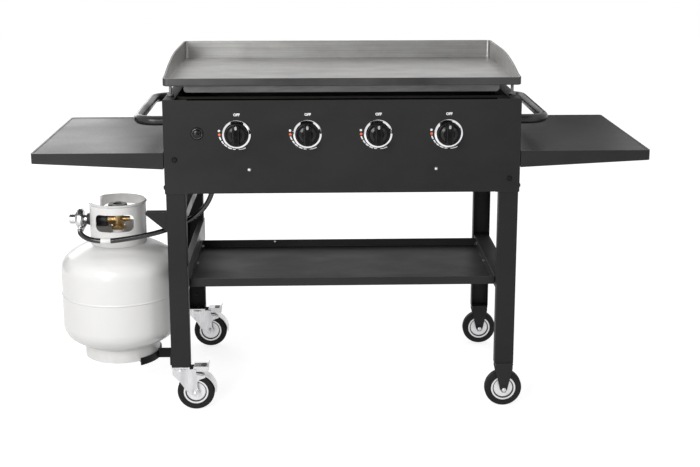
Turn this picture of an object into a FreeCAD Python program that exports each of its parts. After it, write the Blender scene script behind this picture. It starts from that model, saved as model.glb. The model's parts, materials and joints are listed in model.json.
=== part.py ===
# Outdoor gas griddle station: a rolled steel griddle plate on a four-burner box, which stands
# on four channel legs with casters, with two side shelves, a bottom shelf and a gas cylinder.
# Millimetres. X runs to the right, Y from the front to the back, Z up, and the floor is Z = 0.
# The front panel's outer face is the plane that the depths are counted from.

import FreeCAD, Part
import Sketcher
import math
import os

Vector = FreeCAD.Vector
Rotation = FreeCAD.Rotation
Placement = FreeCAD.Placement

# Driving sizes: name, value, what it measures
SIZES = [
    ("front_face_place", -266.8, "front panel's face from the middle of the station"),
    ("sheet", 1.6, "thickness of the box and shelf sheet"),
    ("bend", 3.2, "outside radius of a sheet bend"),
    ("body_width", 914, "over the side walls"),
    ("body_depth", 510, "over the front and rear panels"),
    ("body_bottom", 592, "underside of the box above the floor"),
    ("body_height", 244, "height of the box"),
    ("panel_flange", 18, "depth of the panels' flanges"),
    ("wall_top_flange", 29, "width of the side walls' top flange"),
    ("wall_bottom_flange", 20, "width of the side walls' bottom flange"),
    ("fit_gap", 0.4, "clearance between nested sheet parts"),
    ("leg_width", 50, "width of a leg channel"),
    ("leg_depth", 28, "depth of a leg channel"),
    ("leg_sheet", 1.8, "thickness of the leg sheet"),
    ("leg_bottom", 121, "lower end of the legs above the floor"),
    ("left_pivot", 682, "height of the left legs' pivot bolts"),
    ("right_pivot", 628, "height of the right legs' pivot bolts"),
    ("pivot_hole", 9, "hole for a pivot bolt"),
    ("lock_place", 14, "lock bolt above the underside of the box"),
    ("lower_brace_base", 333, "underside of the left lower brace"),
    ("lower_brace_height", 65, "height of the left lower brace"),
    ("upper_brace_base", 523, "underside of the left upper brace"),
    ("upper_brace_height", 27, "height of the left upper brace"),
    ("brace_flange", 14, "flange of a left brace"),
    ("right_brace_top", 346, "top of the right brace"),
    ("right_brace_flange", 26, "flange of the right brace"),
    ("shelf_floor", 332, "bottom shelf's floor above the ground"),
    ("shelf_lip", 22, "bottom shelf's lip height"),
    ("bottom_shelf_depth", 378, "bottom shelf from front to back"),
    ("bottom_shelf_front", 36, "bottom shelf's front edge behind the panel face"),
    ("side_shelf_top", 700, "top of the side shelves above the floor"),
    ("side_shelf_length", 335, "side shelf from its inner to its outer end"),
    ("side_shelf_depth", 545, "side shelf from front to back"),
    ("side_shelf_inner", 43, "apron depth of a side shelf at the box"),
    ("side_shelf_outer", 26, "apron depth of a side shelf at its outer end"),
    ("side_shelf_gap", 2, "space between a side shelf and the box"),
    ("shelf_corner", 7, "outer corner radius of a side shelf"),
    ("shelf_border", 5, "width of a side shelf's raised border"),
    ("shelf_border_step", 1, "height of a side shelf's raised border"),
    ("bracket_height", 30, "height of a shelf bracket"),
    ("bracket_length", 60, "length of a shelf bracket"),
    ("handle_tube", 25, "diameter of a handle tube"),
    ("handle_wall", 1.5, "wall of a handle tube"),
    ("handle_rise", 75, "handles above the top of the side shelves"),
    ("handle_reach", 74, "handle tube's axis outside the side wall"),
    ("handle_front", 50, "front handle leg behind the panel face"),
    ("handle_span", 410, "between the two legs of a handle"),
    ("handle_bend", 50, "bend radius of a handle"),
    ("plate_inset", 2, "griddle plate's sides from the box's sides"),
    ("plate_depth", 556, "griddle plate's depth"),
    ("plate_front", 2, "griddle plate's overhang in front of the panel"),
    ("plate_underside", 871, "griddle plate's underside above the floor"),
    ("plate_thickness", 5, "thickness of the cooking plate"),
    ("plate_wall", 4, "thickness of the plate's walls"),
    ("plate_corner", 13, "outer corner radius of the plate"),
    ("plate_edge", 3.5, "rounding below the plate's walls"),
    ("front_lip", 20, "height of the plate's front lip from the underside"),
    ("back_wall", 55, "height of the plate's back wall from the underside"),
    ("sweep_length", 330, "length of the curve from the front lip to full height"),
    ("sweep_foot", 280, "radius at the low end of that curve"),
    ("drain_bore", 20, "grease drain in the plate"),
    ("drain_wall", 2, "wall of the drain spout"),
    ("drain_length", 20, "length of the drain spout"),
    ("drain_side", 330, "grease drain to the right of the middle"),
    ("drain_back", 18, "grease drain before the plate's back"),
    ("stiffener_length", 816, "length of a bar under the plate"),
    ("stiffener_height", 25, "height of a bar under the plate"),
    ("stiffener_thickness", 5, "thickness of a bar under the plate"),
    ("stiffener_corner", 9, "rounded lower corners of those bars"),
    ("stiffener_inset", 62, "bars from the plate's front and back edge"),
    ("foot_stud", 8, "diameter of a griddle foot's stud"),
    ("foot_pad", 18, "diameter of a griddle foot's pad"),
    ("foot_pad_height", 7, "height of a griddle foot's pad"),
    ("foot_side", 14, "griddle feet inside the box's side faces"),
    ("foot_front", 72, "front feet behind the panel face"),
    ("foot_back", 52, "rear feet before the box's back"),
    ("knob_pitch", 180.5, "between neighbouring knobs"),
    ("knob_height", 747, "knob axis above the floor"),
    ("knob_diameter", 59.6, "control knob's skirt"),
    ("knob_skirt", 8, "depth of the knob's skirt"),
    ("knob_grip", 21, "how far the grip bar stands off the skirt"),
    ("knob_grip_width", 22, "width of the grip bar at its root"),
    ("knob_grip_taper", 7, "slope of the grip bar's sides, in degrees"),
    ("knob_back_gap", 5.5, "space behind a knob for its press"),
    ("bezel_outer", 74, "outer diameter of the knob bezel"),
    ("bezel_inner", 61.4, "inner diameter of the knob bezel"),
    ("bezel_depth", 6, "depth of the knob bezel"),
    ("stem_diameter", 8, "valve stem"),
    ("stem_fit", 0.06, "radial running clearance on a valve stem"),
    ("stem_hole", 13, "hole in the panel for a valve stem"),
    ("stem_into_knob", 20, "how far a stem reaches into its knob"),
    ("stem_into_valve", 10, "how far a stem reaches into its valve"),
    ("press_travel", 4, "travel of a pressed knob or button"),
    ("manifold_back", 42, "manifold axis behind the panel face"),
    ("manifold_height", 721, "manifold axis above the floor"),
    ("manifold_diameter", 21.3, "outer diameter of the manifold pipe"),
    ("manifold_wall", 2.6, "wall of the manifold pipe"),
    ("inlet_side", 330, "hose inlet to the left of the middle"),
    ("manifold_overrun", 24, "manifold past its last valve"),
    ("inlet_length", 30, "length of the hose inlet below the manifold"),
    ("inlet_diameter", 12, "diameter of the hose inlet"),
    ("inlet_nut", 22, "diameter of the nut on the hose inlet"),
    ("valve_width", 24, "width of a gas valve"),
    ("valve_front", 22, "front of a gas valve behind the panel face"),
    ("valve_length", 34, "length of a gas valve"),
    ("nozzle_diameter", 9, "gas valve's nozzle"),
    ("nozzle_length", 16, "length of that nozzle"),
    ("rivet_side", 240, "manifold brackets from the middle"),
    ("rivet_height", 655, "panel rivets above the floor"),
    ("manifold_bracket", 28, "width of a manifold bracket"),
    ("shield_back", 68, "heat shield behind the panel face"),
    ("shield_drop", 190, "height of the heat shield"),
    ("burner_diameter", 25.4, "outer diameter of a burner tube"),
    ("burner_wall", 1.2, "wall of a burner tube"),
    ("burner_venturi", 34, "outer diameter of a burner's mixing bell"),
    ("burner_rail_back", 466, "burner rail behind the panel face"),
    ("burner_rail_height", 40, "height of the burner rail"),
    ("burner_rail_flange", 12, "flange of the burner rail"),
    ("igniter_side", 370.5, "igniter to the left of the middle"),
    ("igniter_height", 750, "igniter axis above the floor"),
    ("igniter_button_size", 22, "diameter of the igniter button"),
    ("igniter_ring", 33, "outer diameter of the igniter's ring"),
    ("igniter_barrel", 27, "outer diameter of the igniter's barrel"),
    ("igniter_length", 54, "length of the igniter's barrel"),
    ("electrode_diameter", 7, "ceramic body of a spark electrode"),
    ("electrode_length", 42, "length of that body"),
    ("wheel_diameter", 99, "caster wheel"),
    ("wheel_width", 24, "width of a caster wheel"),
    ("hub_diameter", 66, "wheel hub inside the tyre"),
    ("hub_play", 1, "hub's play in its fork on each side"),
    ("axle_diameter", 10, "wheel axle"),
    ("axle_fit", 0.08, "radial running clearance on an axle"),
    ("caster_trail", 38, "axle beside the swivel axis"),
    ("fork_gap", 32, "between the two cheeks of a caster fork"),
    ("fork_sheet", 2.5, "thickness of a caster fork"),
    ("fork_crown", 106, "underside of the fork's crown above the floor"),
    ("guard_gap", 3, "fork's guard outside the tyre"),
    ("crown_diameter", 46, "diameter of a swivel caster's crown"),
    ("swivel_pin", 12, "diameter of a swivel caster's king pin"),
    ("mount_plate", 5, "thickness of a caster's top plate"),
    ("pedal_width", 30, "width of a brake pedal"),
    ("pedal_length", 42, "length of a brake pedal"),
    ("pedal_sheet", 2.5, "thickness of a brake pedal"),
    ("cylinder_side", 146, "gas cylinder's axis to the left of the box"),
    ("cylinder_back", 147, "gas cylinder's axis behind the panel face"),
    ("cylinder_diameter", 312, "gas cylinder"),
    ("cylinder_straight", 150, "straight part of the cylinder"),
    ("cylinder_foot", 116, "underside of the foot ring above the floor"),
    ("foot_ring_diameter", 202, "cylinder's foot ring"),
    ("foot_ring_sheet", 3, "thickness of the foot ring and the collar"),
    ("foot_ring_height", 46, "height of the foot ring"),
    ("bottom_clearance", 12, "cylinder's bottom above its foot ring's edge"),
    ("dish_knuckle", 48, "small radius of the cylinder's dished ends"),
    ("dish_crown", 240, "large radius of the cylinder's dished ends"),
    ("cylinder_wall", 2.5, "thickness of the cylinder's shell"),
    ("valve_thread", 24, "cylinder valve's thread in the shell"),
    ("thread_length", 22, "length of that thread"),
    ("weld_width", 6, "girth weld around the cylinder"),
    ("weld_height", 1.2, "how far the girth weld stands proud"),
    ("collar_diameter", 150, "cylinder's collar"),
    ("collar_height", 114, "height of the collar"),
    ("collar_band", 26, "closed band at the top of the collar"),
    ("collar_window", 46, "height of the collar's hand holes"),
    ("collar_bead", 7, "rolled edge of the collar"),
    ("collar_hand_hole", 100, "width of a hand hole"),
    ("slot_front", 22, "collar's slot before the cylinder's axis"),
    ("slot_back", 50, "collar's slot behind the cylinder's axis"),
    ("slot_base", 39, "collar's slot above the collar's foot"),
    ("slot_corner", 12, "rounding of the collar's slot"),
    ("outlet_rise", 26.7, "valve outlet above the cylinder's neck"),
    ("outlet_diameter", 30, "valve outlet"),
    ("outlet_length", 48.8, "valve outlet from the cylinder's axis"),
    ("valve_body", 30, "diameter of the cylinder valve's body"),
    ("neck_height", 24, "cylinder's neck above its crown"),
    ("neck_wall", 3, "thickness of the cylinder's neck"),
    ("relief_diameter", 15, "relief valve behind the outlet"),
    ("relief_reach", 32, "relief valve from the cylinder's axis"),
    ("bonnet_diameter", 19, "bonnet under the handwheel"),
    ("bonnet_height", 12, "height of the bonnet"),
    ("handwheel_diameter", 54, "cylinder valve's handwheel"),
    ("handwheel_height", 15, "height of the handwheel"),
    ("coupling_diameter", 40, "coupling nut"),
    ("coupling_length", 56, "length of the coupling nut"),
    ("regulator_diameter", 57, "regulator's body"),
    ("regulator_depth", 16, "rim of the regulator's body"),
    ("regulator_cap", 26, "regulator's cap"),
    ("regulator_neck", 22, "regulator's neck to the coupling nut"),
    ("holder_gap", 1, "cylinder holder around the foot ring"),
    ("holder_drop", 12, "holder's band below the foot ring"),
    ("holder_height", 20, "height of the holder's band"),
    ("holder_turn", 55, "angle that the band takes to each side"),
    ("holder_sheet", 3, "thickness of the holder"),
    ("holder_ledge", 14, "ledge that carries the foot ring"),
    ("holder_arm_base", 126, "underside of the holder's arm on the leg"),
    ("holder_arm_height", 27, "height of the holder's arm"),
    ("holder_arm_front", 28, "holder's arm before the cylinder's axis"),
    ("stay_reach", 54, "length of the cylinder stay on the leg"),
    ("stay_height", 52, "height of the cylinder stay"),
    ("stay_top", 543, "top of the cylinder stay above the floor"),
    ("cup_width", 110, "grease cup from side to side"),
    ("cup_depth", 58, "grease cup from front to back"),
    ("cup_height", 84, "height of the grease cup"),
    ("cup_sheet", 1.2, "thickness of the grease cup"),
    ("cup_corner", 12, "corner radius of the grease cup"),
    ("cup_hook", 10, "hook of the grease cup over the rear panel"),
    ("hose_diameter", 12, "gas hose"),
    ("hose_straight", 32, "hose runs straight on from the regulator"),
    ("bolt_diameter", 8, "pivot and lock bolts"),
    ("handle_plug", 14, "plug in the end of a handle tube"),
    ("bolt_head", 14, "head of those bolts"),
    ("bolt_head_height", 4.5, "height of that head"),
]

doc = FreeCAD.newDocument("griddle_station")
sheet_table = doc.addObject("Spreadsheet::Sheet", "sizes")
for row, (alias, value, meaning) in enumerate(SIZES, 1):
    sheet_table.set("A%d" % row, meaning)
    sheet_table.set("B%d" % row, str(value))
    sheet_table.setAlias("B%d" % row, alias)
doc.recompute()


class Size:
    """A length in the model: its value, and the spreadsheet formula that gives it."""

    def __init__(self, value, formula):
        self.value = float(value)
        self.formula = formula

    def __add__(self, other):
        other = as_size(other)
        return Size(self.value + other.value, "(%s + %s)" % (self.formula, other.formula))

    def __sub__(self, other):
        other = as_size(other)
        return Size(self.value - other.value, "(%s - %s)" % (self.formula, other.formula))

    def __mul__(self, other):
        other = as_size(other)
        return Size(self.value * other.value, "(%s * %s)" % (self.formula, other.formula))

    def __truediv__(self, other):
        other = as_size(other)
        return Size(self.value / other.value, "(%s / %s)" % (self.formula, other.formula))

    def __neg__(self):
        return Size(-self.value, "(0 - %s)" % self.formula)

    def root(self):
        return Size(math.sqrt(self.value), "sqrt(%s)" % self.formula)

    __radd__ = __add__
    __rmul__ = __mul__


def as_size(number):
    """A plain count or share as a Size, so that the two can be mixed."""
    return number if isinstance(number, Size) else Size(number, repr(float(number)))


def size(alias):
    """One driving size from the spreadsheet."""
    return Size(sheet_table.get(alias), "sizes." + alias)


def bind(thing, place, length):
    """Ties one property of an object to the spreadsheet."""
    thing.setExpression(place, as_size(length).formula)


# Planes and directions of a body
ROLES = {"XY": "XY_Plane", "XZ": "XZ_Plane", "YZ": "YZ_Plane"}
UPRIGHT = Rotation()
ALONG_Y = Rotation(Vector(1, 0, 0), -90)
ALONG_X = Rotation(Vector(0, 1, 0), 90)

nodes = {}


def new_body(label):
    """An empty body that becomes one sub-part."""
    made = doc.addObject("PartDesign::Body", label)
    made.Label = label
    return made


def new_sketch(owner, plane, offset=None):
    """A sketch on one of its body's own origin planes, moved along the normal by offset."""
    made = owner.newObject("Sketcher::SketchObject", owner.Name + "_sketch")
    role = ROLES[plane]
    support = [f for f in owner.Origin.OriginFeatures if f.Role == role][0]
    made.AttachmentSupport = (support, [""])
    made.MapMode = "FlatFace"
    if offset is not None:
        offset = as_size(offset)
        made.AttachmentOffset = Placement(Vector(0, 0, offset.value), UPRIGHT)
        bind(made, "AttachmentOffset.Base.z", offset)
    return made


def pin_point(sketch, geometry, end, x, y):
    """Holds a point of a sketch at two sizes."""
    for kind, length in (("DistanceX", x), ("DistanceY", y)):
        length = as_size(length)
        index = sketch.addConstraint(Sketcher.Constraint(kind, geometry, end, length.value))
        bind(sketch, "Constraints[%d]" % index, length)


def arc_centre(start, end, radius, turn):
    """Centre of the short arc from start to end; turn is +1 for anticlockwise."""
    mid_x, mid_y = (start[0] + end[0]) / 2, (start[1] + end[1]) / 2
    run_x, run_y = end[0] - start[0], end[1] - start[1]
    chord = math.hypot(run_x, run_y)
    rise = math.sqrt(max(radius ** 2 - chord ** 2 / 4, 0))
    return mid_x - turn * run_y / chord * rise, mid_y + turn * run_x / chord * rise


def add_outline(sketch, steps):
    """A closed outline. A step is (x, y), a corner, or (x, y, radius, turn), an arc's end."""
    steps = [tuple(as_size(part) if i < 3 else part for i, part in enumerate(step)) for step in steps]
    points = [(step[0].value, step[1].value) for step in steps]
    made = []
    for i, step in enumerate(steps):
        start, end = points[i - 1], points[i]
        if len(step) == 2:
            edge = Part.LineSegment(Vector(*start, 0), Vector(*end, 0))
            made.append((sketch.addGeometry(edge, False), 1, 2))
            continue
        centre = arc_centre(start, end, step[2].value, step[3])
        angles = [math.atan2(p[1] - centre[1], p[0] - centre[0]) for p in (start, end)]
        if step[3] < 0:
            angles.reverse()
        circle = Part.Circle(Vector(*centre, 0), Vector(0, 0, 1), step[2].value)
        arc = sketch.addGeometry(Part.ArcOfCircle(circle, angles[0], angles[1]), False)
        made.append((arc, 1, 2) if step[3] > 0 else (arc, 2, 1))
    for i, step in enumerate(steps):
        geometry, _, end = made[i]
        following, start, _ = made[(i + 1) % len(made)]
        sketch.addConstraint(Sketcher.Constraint("Coincident", geometry, end, following, start))
        pin_point(sketch, geometry, end, step[0], step[1])
        if len(step) == 4:
            index = sketch.addConstraint(Sketcher.Constraint("Radius", geometry, step[2].value))
            bind(sketch, "Constraints[%d]" % index, step[2])
    return sketch


def add_circle(sketch, x, y, diameter):
    """A circle held by its centre and its diameter."""
    x, y, diameter = as_size(x), as_size(y), as_size(diameter)
    circle = Part.Circle(Vector(x.value, y.value, 0), Vector(0, 0, 1), diameter.value / 2)
    geometry = sketch.addGeometry(circle, False)
    pin_point(sketch, geometry, 3, x, y)
    index = sketch.addConstraint(Sketcher.Constraint("Diameter", geometry, diameter.value))
    bind(sketch, "Constraints[%d]" % index, diameter)
    return sketch


def rectangle(x0, y0, x1, y1):
    """Outline of a rectangle between two corners."""
    return [(x0, y0), (x1, y0), (x1, y1), (x0, y1)]


def rounded_rectangle(x0, y0, x1, y1, radius):
    """Outline of a rectangle whose corners are rounded."""
    x0, y0, x1, y1, radius = [as_size(part) for part in (x0, y0, x1, y1, radius)]
    return [
        (x1 - radius, y0), (x1, y0 + radius, radius, 1),
        (x1, y1 - radius), (x1 - radius, y1, radius, 1),
        (x0 + radius, y1), (x0, y1 - radius, radius, 1),
        (x0, y0 + radius), (x0 + radius, y0, radius, 1),
    ]


def channel(low_flange, high_flange, height, thickness, outer, side=1):
    """Outline of a bent channel: web on the second axis, flanges along the first."""
    low, high, tall, wall, outer = [as_size(p) for p in (low_flange, high_flange, height, thickness, outer)]
    inner = outer - wall
    steps = [
        (low, as_size(0)), (low, wall), (outer, wall), (wall, outer, inner, -side),
        (wall, tall - outer), (outer, tall - wall, inner, -side),
        (high, tall - wall), (high, tall), (outer, tall), (as_size(0), tall - outer, outer, side),
        (as_size(0), outer), (outer, as_size(0), outer, side),
    ]
    return [(step[0] * side,) + step[1:] for step in steps]


def pad(owner, sketch, length, ahead=True):
    """Material along the sketch's normal, or against it."""
    made = owner.newObject("PartDesign::Pad", owner.Name + "_pad")
    made.Profile = sketch
    made.Reversed = not ahead
    bind(made, "Length", length)
    doc.recompute()
    return made


def pocket(owner, sketch, length=None, ahead=True):
    """Removes material along the sketch's normal; with no length, right through both ways."""
    before = owner.Shape.Volume
    made = owner.newObject("PartDesign::Pocket", owner.Name + "_pocket")
    made.Profile = sketch
    if length is None:
        made.Type = "ThroughAll"
        made.SideType = "Symmetric"
    else:
        made.Reversed = ahead
        bind(made, "Length", length)
    doc.recompute()
    if not owner.Shape.Volume < before:
        raise RuntimeError(owner.Label + ": a pocket removes nothing")
    return made


def revolve(owner, sketch, axis="V_Axis"):
    """A turned piece about one axis of its sketch."""
    made = owner.newObject("PartDesign::Revolution", owner.Name + "_revolution")
    made.Profile = sketch
    made.ReferenceAxis = (sketch, [axis])
    made.Angle = 360
    doc.recompute()
    return made


def round_edges(owner, base, radius, wanted):
    """Rounds the edges of a feature that the test picks."""
    names = ["Edge%d" % (i + 1) for i, edge in enumerate(base.Shape.Edges) if wanted(edge)]
    made = owner.newObject("PartDesign::Fillet", owner.Name + "_fillet")
    made.Base = (base, names)
    bind(made, "Radius", radius)
    doc.recompute()
    return made


def place(thing, x=0, y=0, z=0, turn=UPRIGHT):
    """Puts a thing in the station; y counts back from the front panel's face."""
    x, y, z = as_size(x), as_size(y) + size("front_face_place"), as_size(z)
    thing.Placement = Placement(Vector(x.value, y.value, z.value), turn)
    for axis, length in (("x", x), ("y", y), ("z", z)):
        bind(thing, "Placement.Base." + axis, length)
    return thing


def rod(name, diameter, length, x=0, y=0, z=0, turn=UPRIGHT):
    """A plain cylinder whose base is at x, y, z."""
    made = doc.addObject("Part::Cylinder", name)
    bind(made, "Radius", as_size(diameter) / 2)
    bind(made, "Height", length)
    return place(made, x, y, z, turn)


def block(name, x0, y0, z0, length, width, height):
    """A plain block from its lowest corner."""
    made = doc.addObject("Part::Box", name)
    bind(made, "Length", length)
    bind(made, "Width", width)
    bind(made, "Height", height)
    return place(made, x0, y0, z0)


def fused(name, pieces):
    """Pieces welded into one solid."""
    made = doc.addObject("Part::MultiFuse", name)
    made.Shapes = pieces
    return made


def without(name, base, tool):
    """A piece with another one's room cut from it."""
    made = doc.addObject("Part::Cut", name)
    made.Base = base
    made.Tool = tool
    return made


def grouped(name, pieces):
    """Like pieces that share one node, each a solid of its own."""
    made = doc.addObject("Part::Compound", name)
    made.Links = pieces
    return made


def keep(label, thing):
    """Names a finished sub-part."""
    thing.Label = label
    nodes[label] = thing
    return thing


# Lengths that many pieces share
sheet = size("sheet")
bend = size("bend")
gap = size("fit_gap")
half_width = size("body_width") / 2
body_top = size("body_bottom") + size("body_height")
leg_sheet = size("leg_sheet")
leg_outer = half_width - sheet - gap
leg_inner = leg_outer - size("leg_width")
leg_middle = leg_outer - size("leg_width") / 2
front_leg_face = sheet + gap
rear_leg_face = size("body_depth") - sheet - gap
half_leg = size("leg_depth") / 2
handle_height = size("side_shelf_top") + size("handle_rise")
leg_backs = {"front": front_leg_face + half_leg, "rear": rear_leg_face - half_leg}
OVERRUN = 10
KNOBS = [(number, (number - 2.5) * size("knob_pitch")) for number in (1, 2, 3, 4)]
SIDES = {"left": -1, "right": 1}


# Burner box: front panel, rear panel and two side walls of bent sheet
def make_panel(label, holes):
    """A panel with a top and a bottom flange that stop short of the side walls and legs."""
    made = new_body(label)
    face = add_outline(new_sketch(made, "XZ"), rectangle(-half_width, 0, half_width, size("body_height")))
    pad(made, face, sheet, ahead=False)
    width = leg_inner - OVERRUN
    profile = new_sketch(made, "YZ", -width)
    flange = size("panel_flange")
    add_outline(profile, channel(flange, flange, size("body_height"), sheet, bend))
    pad(made, profile, width * 2)
    bends = new_sketch(made, "XZ")
    for level in (0, size("body_height")):
        side = 1 if level == 0 else -1
        edge = as_size(level)
        add_outline(bends, rectangle(-width, edge, width, edge + bend * side))
    pocket(made, bends, bend, ahead=False)
    profile = new_sketch(made, "YZ", -width)
    add_outline(profile, channel(flange, flange, size("body_height"), sheet, bend))
    pad(made, profile, width * 2)
    drilled = new_sketch(made, "XZ")
    for x, z, diameter in holes:
        add_circle(drilled, x, z - size("body_bottom"), diameter)
    pocket(made, drilled)
    return made


pivot_holes = [
    (leg_middle * side, size(name + "_pivot"), size("pivot_hole")) for name, side in SIDES.items()
]
lock_height = size("body_bottom") + size("lock_place")
stem_holes = [(x, size("knob_height"), size("stem_hole")) for _, x in KNOBS]
igniter_hole = [(-size("igniter_side"), size("igniter_height"), size("igniter_barrel") + gap)]
rivet_hole = size("manifold_bracket") / 5
rivet_holes = [(size("rivet_side") * side, size("rivet_height"), rivet_hole) for side in (-1, 1)]
front_panel = make_panel("front_panel", stem_holes + igniter_hole + pivot_holes + rivet_holes)
keep("front_panel", place(front_panel, 0, 0, size("body_bottom")))
rear_panel = make_panel("rear_panel", [(-x, z, diameter) for x, z, diameter in pivot_holes])
BACK_TO_FRONT = Rotation(Vector(0, 0, 1), 180)
keep("rear_panel", place(rear_panel, 0, size("body_depth"), size("body_bottom"), BACK_TO_FRONT))


def make_side_wall(label, side):
    """A side wall whose flanges turn inwards; the lower one stops short of the legs."""
    made = new_body(label)
    low, high = size("wall_bottom_flange"), size("wall_top_flange")
    profile = new_sketch(made, "XZ")
    add_outline(profile, channel(low, high, size("body_height"), sheet, bend, -side))
    length = size("body_depth") - sheet * 2
    pad(made, profile, length, ahead=False)
    notches = new_sketch(made, "XY")
    notch = size("leg_depth") + OVERRUN
    for start, end in ((as_size(-1), notch), (length - notch, length + 1)):
        add_outline(notches, rectangle(-sheet * side, start, -(low + 1) * side, end))
    pocket(made, notches, bend)
    drilled = new_sketch(made, "YZ")
    bolt_height = handle_height - size("body_bottom")
    for back in (size("handle_front"), size("handle_front") + size("handle_span")):
        add_circle(drilled, back - sheet, bolt_height, size("pivot_hole"))
    for back in leg_backs.values():
        add_circle(drilled, back - sheet, size("lock_place"), size("pivot_hole"))
    pocket(made, drilled)
    return place(made, half_width * side, sheet, size("body_bottom"))


for name, side in SIDES.items():
    keep(name + "_side_wall", make_side_wall(name + "_side_wall", side))


# Legs: channels with a rounded upper end that turns about its pivot bolt in the box
QUARTER = Rotation(Vector(0, 0, 1), 90)
BACK_QUARTER = Rotation(Vector(0, 0, 1), -90)


def make_leg(label, side, pivot, rear):
    """A leg channel, web outwards to the front or to the rear."""
    made = new_body(label)
    width, depth = size("leg_width"), size("leg_depth")
    length = pivot + width / 2 - size("leg_bottom")
    profile = new_sketch(made, "XY")
    add_outline(profile, channel(depth, depth, width, leg_sheet, bend))
    pad(made, profile, length)
    corners = new_sketch(made, "YZ")
    radius = width * 0.4
    add_outline(corners, [
        (0, length - radius), (radius, length, radius, -1), (radius, length + 1),
        (-1, length + 1), (-1, length - radius),
    ])
    add_outline(corners, [
        (width - radius, length), (width, length - radius, radius, -1), (width + 1, length - radius),
        (width + 1, length + 1), (width - radius, length + 1),
    ])
    pocket(made, corners)
    drilled = new_sketch(made, "YZ")
    add_circle(drilled, width / 2, pivot - size("leg_bottom"), size("pivot_hole"))
    pocket(made, drilled)
    drilled = new_sketch(made, "XZ")
    add_circle(drilled, depth / 2, lock_height - size("leg_bottom"), size("pivot_hole"))
    pocket(made, drilled)
    if rear:
        return place(made, leg_middle * side - width / 2, rear_leg_face, size("leg_bottom"), BACK_QUARTER)
    return place(made, leg_middle * side + width / 2, front_leg_face, size("leg_bottom"), QUARTER)


for name, side in SIDES.items():
    for end in ("front", "rear"):
        label = "%s_%s_leg" % (end, name)
        leg = make_leg(label, side, size(name + "_pivot"), end == "rear")
        if label == "front_left_leg":
            # The cylinder's stay is a gusset welded on the outside of this leg
            stay = new_body("cylinder_stay")
            gusset = new_sketch(stay, "XZ")
            reach, drop = size("stay_reach"), size("stay_height")
            add_outline(gusset, [(0, 0), (0, -drop), (-reach, -drop * 0.12), (-reach, 0)])
            pad(stay, gusset, leg_sheet, ahead=False)
            lip = new_sketch(stay, "XZ")
            add_outline(lip, rectangle(-reach, -leg_sheet, 0, 0))
            pad(stay, lip, size("leg_depth") - 2 * leg_sheet, ahead=False)
            place(stay, -leg_outer, front_leg_face + leg_sheet, size("stay_top"))
            leg = fused("front_left_leg_welded", [leg, stay])
        keep(label, leg)

# Braces between the front and the rear leg of each side
brace_front = front_leg_face + size("leg_depth")
brace_back = rear_leg_face - size("leg_depth")


def make_left_brace(name, base, height):
    """A pressed brace on the inner faces of the left legs, its flanges between them."""
    made = new_body(name)
    web = new_sketch(made, "XZ")
    add_outline(web, rectangle(0, 0, leg_sheet, height))
    pad(made, web, rear_leg_face - front_leg_face, ahead=False)
    flanges = new_sketch(made, "XZ", -(size("leg_depth") + 1))
    flange = size("brace_flange")
    add_outline(flanges, rectangle(-flange, 0, leg_sheet, leg_sheet))
    add_outline(flanges, rectangle(-flange, height - leg_sheet, leg_sheet, height))
    pad(made, flanges, brace_back - brace_front - 2, ahead=False)
    return place(made, -leg_inner, front_leg_face, base)


lower = make_left_brace("lower_brace", size("lower_brace_base"), size("lower_brace_height"))
upper = make_left_brace("upper_brace", size("upper_brace_base"), size("upper_brace_height"))
keep("left_braces", grouped("left_brace_pair", [lower, upper]))

right_brace = new_body("right_brace")
inside = size("leg_width") - leg_sheet * 2 - gap * 2
profile = new_sketch(right_brace, "XZ")
fold = size("right_brace_flange")
section = [(-inside / 2, -fold), (-inside / 2 + leg_sheet, -fold), (-inside / 2 + leg_sheet, -leg_sheet)]
section += [(inside / 2 - leg_sheet, -leg_sheet), (inside / 2 - leg_sheet, -fold), (inside / 2, -fold)]
section += [(inside / 2, 0), (-inside / 2, 0)]
add_outline(profile, section)
brace_length = rear_leg_face - front_leg_face - leg_sheet * 2
pad(right_brace, profile, brace_length, ahead=False)
drilled = new_sketch(right_brace, "XY")
for along in (brace_length * 0.09, brace_length * 0.93):
    add_circle(drilled, 0, along, size("pivot_hole"))
pocket(right_brace, drilled)
keep("right_brace", place(right_brace, leg_middle, front_leg_face + leg_sheet, size("right_brace_top")))

# Bottom shelf: one tray between the leg frames
tray = new_body("bottom_shelf")
tray_left = -leg_inner + leg_sheet
tray_depth = size("bottom_shelf_depth")
outline = new_sketch(tray, "XY")
add_outline(outline, rounded_rectangle(tray_left, 0, leg_inner, tray_depth, bend))
shell = pad(tray, outline, size("shelf_lip"))
hollow = new_sketch(tray, "XY", sheet)
inner = rounded_rectangle(tray_left + sheet, sheet, leg_inner - sheet, tray_depth - sheet, bend - sheet)
add_outline(hollow, inner)
pocket(tray, hollow, size("shelf_lip"))
keep("bottom_shelf", place(tray, 0, size("bottom_shelf_front"), size("shelf_floor")))


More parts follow.
